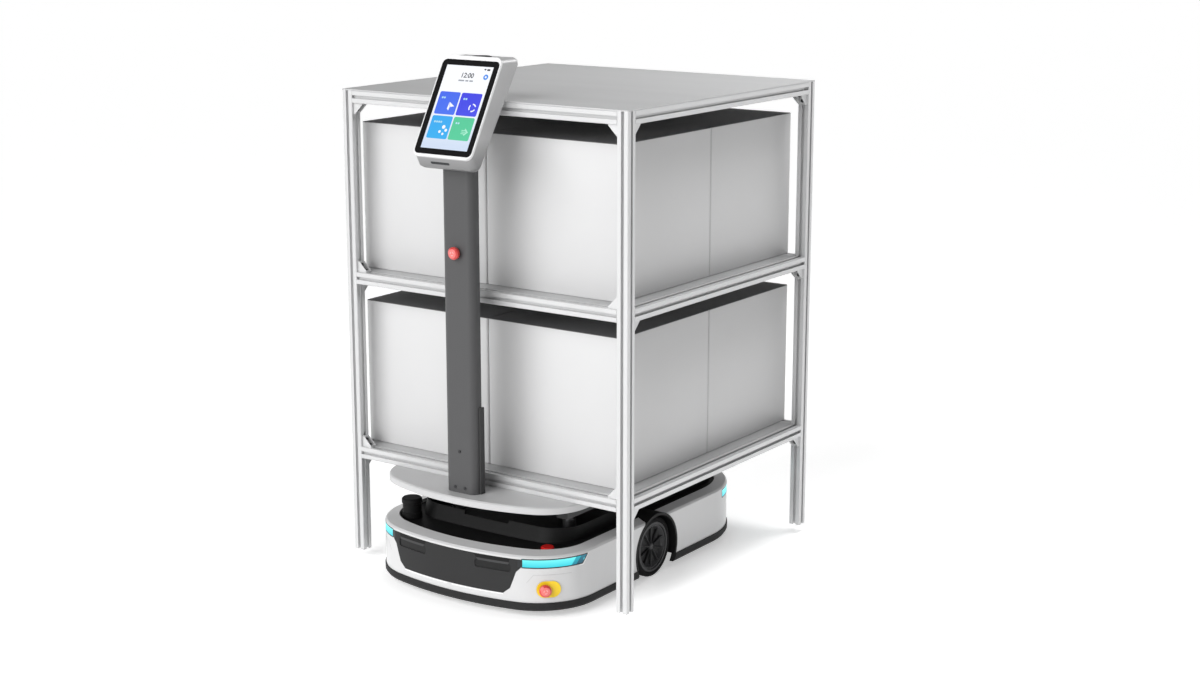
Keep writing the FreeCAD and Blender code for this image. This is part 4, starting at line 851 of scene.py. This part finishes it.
def bins():
    """A tote and its lid on each bin's body, in place of the plain CAD bin."""
    for body, nodes in BODIES.items():
        if not body.startswith("tote_"):
            continue
        node = nodes[0]
        low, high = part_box(node)
        box = piece(body + "_box", bin_shell(low, high), body, "tote_white")
        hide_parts(node)
        piece(body + "_lid", bin_lid(low, high), body, "tote_white", MATERIALS["tote_lid"])


# ------------------------------------------------------------------ camera, light and floor
def camera():
    """The photograph's view, placed from the middle of the rack's top panel."""
    data = bpy.data.cameras.new("Camera")
    data.sensor_width = 36.0
    data.lens = LENS
    data.clip_end = 200.0
    obj = bpy.data.objects.new("Camera", data)
    low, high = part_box("top_panel")
    obj.location = (CAMERA_X, (low.y + high.y) / 2 - CAMERA_BACK, CAMERA_Z)
    obj.rotation_euler = (CAMERA_TILT, 0.0, CAMERA_TURN)
    bpy.context.scene.collection.objects.link(obj)
    bpy.context.scene.camera = obj


def sun(name, azimuth, height, spread, strength):
    """A soft far light; azimuth 0 shines from the front, and grows towards the right."""
    data = bpy.data.lights.new(name, "SUN")
    data.energy = strength
    data.angle = math.radians(spread)
    obj = bpy.data.objects.new(name, data)
    turn, rise = math.radians(azimuth), math.radians(height)
    source = Vector((math.sin(turn) * math.cos(rise), -math.cos(turn) * math.cos(rise),
                     math.sin(rise)))
    obj.rotation_euler = source.to_track_quat("Z", "Y").to_euler()
    bpy.context.scene.collection.objects.link(obj)


def area_light(name, place, aim, size, power):
    """A rectangular lamp at place that shines towards aim."""
    data = bpy.data.lights.new(name, "AREA")
    data.shape = "RECTANGLE"
    data.size, data.size_y = size
    data.energy = power
    obj = bpy.data.objects.new(name, data)
    obj.location = place
    obj.rotation_euler = (Vector(aim) - Vector(place)).to_track_quat("-Z", "Y").to_euler()
    bpy.context.scene.collection.objects.link(obj)


def stage():
    """A white floor, a studio background that is brighter near the horizon, and two lights."""
    floor_material = bpy.data.materials.new("Pale floor")
    floor_material.use_nodes = True
    shader = floor_material.node_tree.nodes["Principled BSDF"]
    socket(shader, "Base Color", (0.95, 0.95, 0.95, 1))
    socket(shader, "Roughness", 0.9)
    socket(shader, "Specular IOR Level", 0.0)
    socket(shader, "Emission Color", (1, 1, 1, 1))
    socket(shader, "Emission Strength", FLOOR_GLOW)
    bm = bmesh.new()
    bmesh.ops.create_grid(bm, x_segments=1, y_segments=1, size=FLOOR_HALF)
    mesh = bpy.data.meshes.new("Floor")
    bm.to_mesh(mesh)
    bm.free()
    floor = bpy.data.objects.new("Floor", mesh)
    mesh.materials.append(floor_material)
    bpy.context.scene.collection.objects.link(floor)

    world = bpy.data.worlds.new("Studio")
    world.use_nodes = True
    tree = world.node_tree
    place = tree.nodes.new("ShaderNodeTexCoord")
    split = tree.nodes.new("ShaderNodeSeparateXYZ")
    tree.links.new(place.outputs["Generated"], split.inputs["Vector"])
    ramp = tree.nodes.new("ShaderNodeValToRGB")
    low, high = ramp.color_ramp.elements
    low.position, high.position = 0.08, 0.35
    low.color = (0.86, 0.86, 0.86, 1)
    high.color = (0.15, 0.15, 0.15, 1)
    tree.links.new(split.outputs["Z"], ramp.inputs["Fac"])
    tree.links.new(ramp.outputs["Color"], tree.nodes["Background"].inputs["Color"])
    bpy.context.scene.world = world
    sun("Key", -12, 27, 55, 2.85)
    area_light("Top", (0.75, 0.9, 2.6), (0.4, 0.45, 1.18), (0.8, 0.8), 28)


SHELL_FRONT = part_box("outer_shell")[0].y
WALLS = {(side, end): Wall(side, end) for side in (-1, 1) for end in (-1, 1)}

dress_nodes()
screen()
head_trim()
bins()
wheels()
stop_caps()
stop_plate_line()
for side in (-1, 1):
    panel_trim(side)
    light_trim(side, -1)
    light_trim(side, 1)
camera()
stage()

bpy.context.scene.view_settings.view_transform = "Standard"
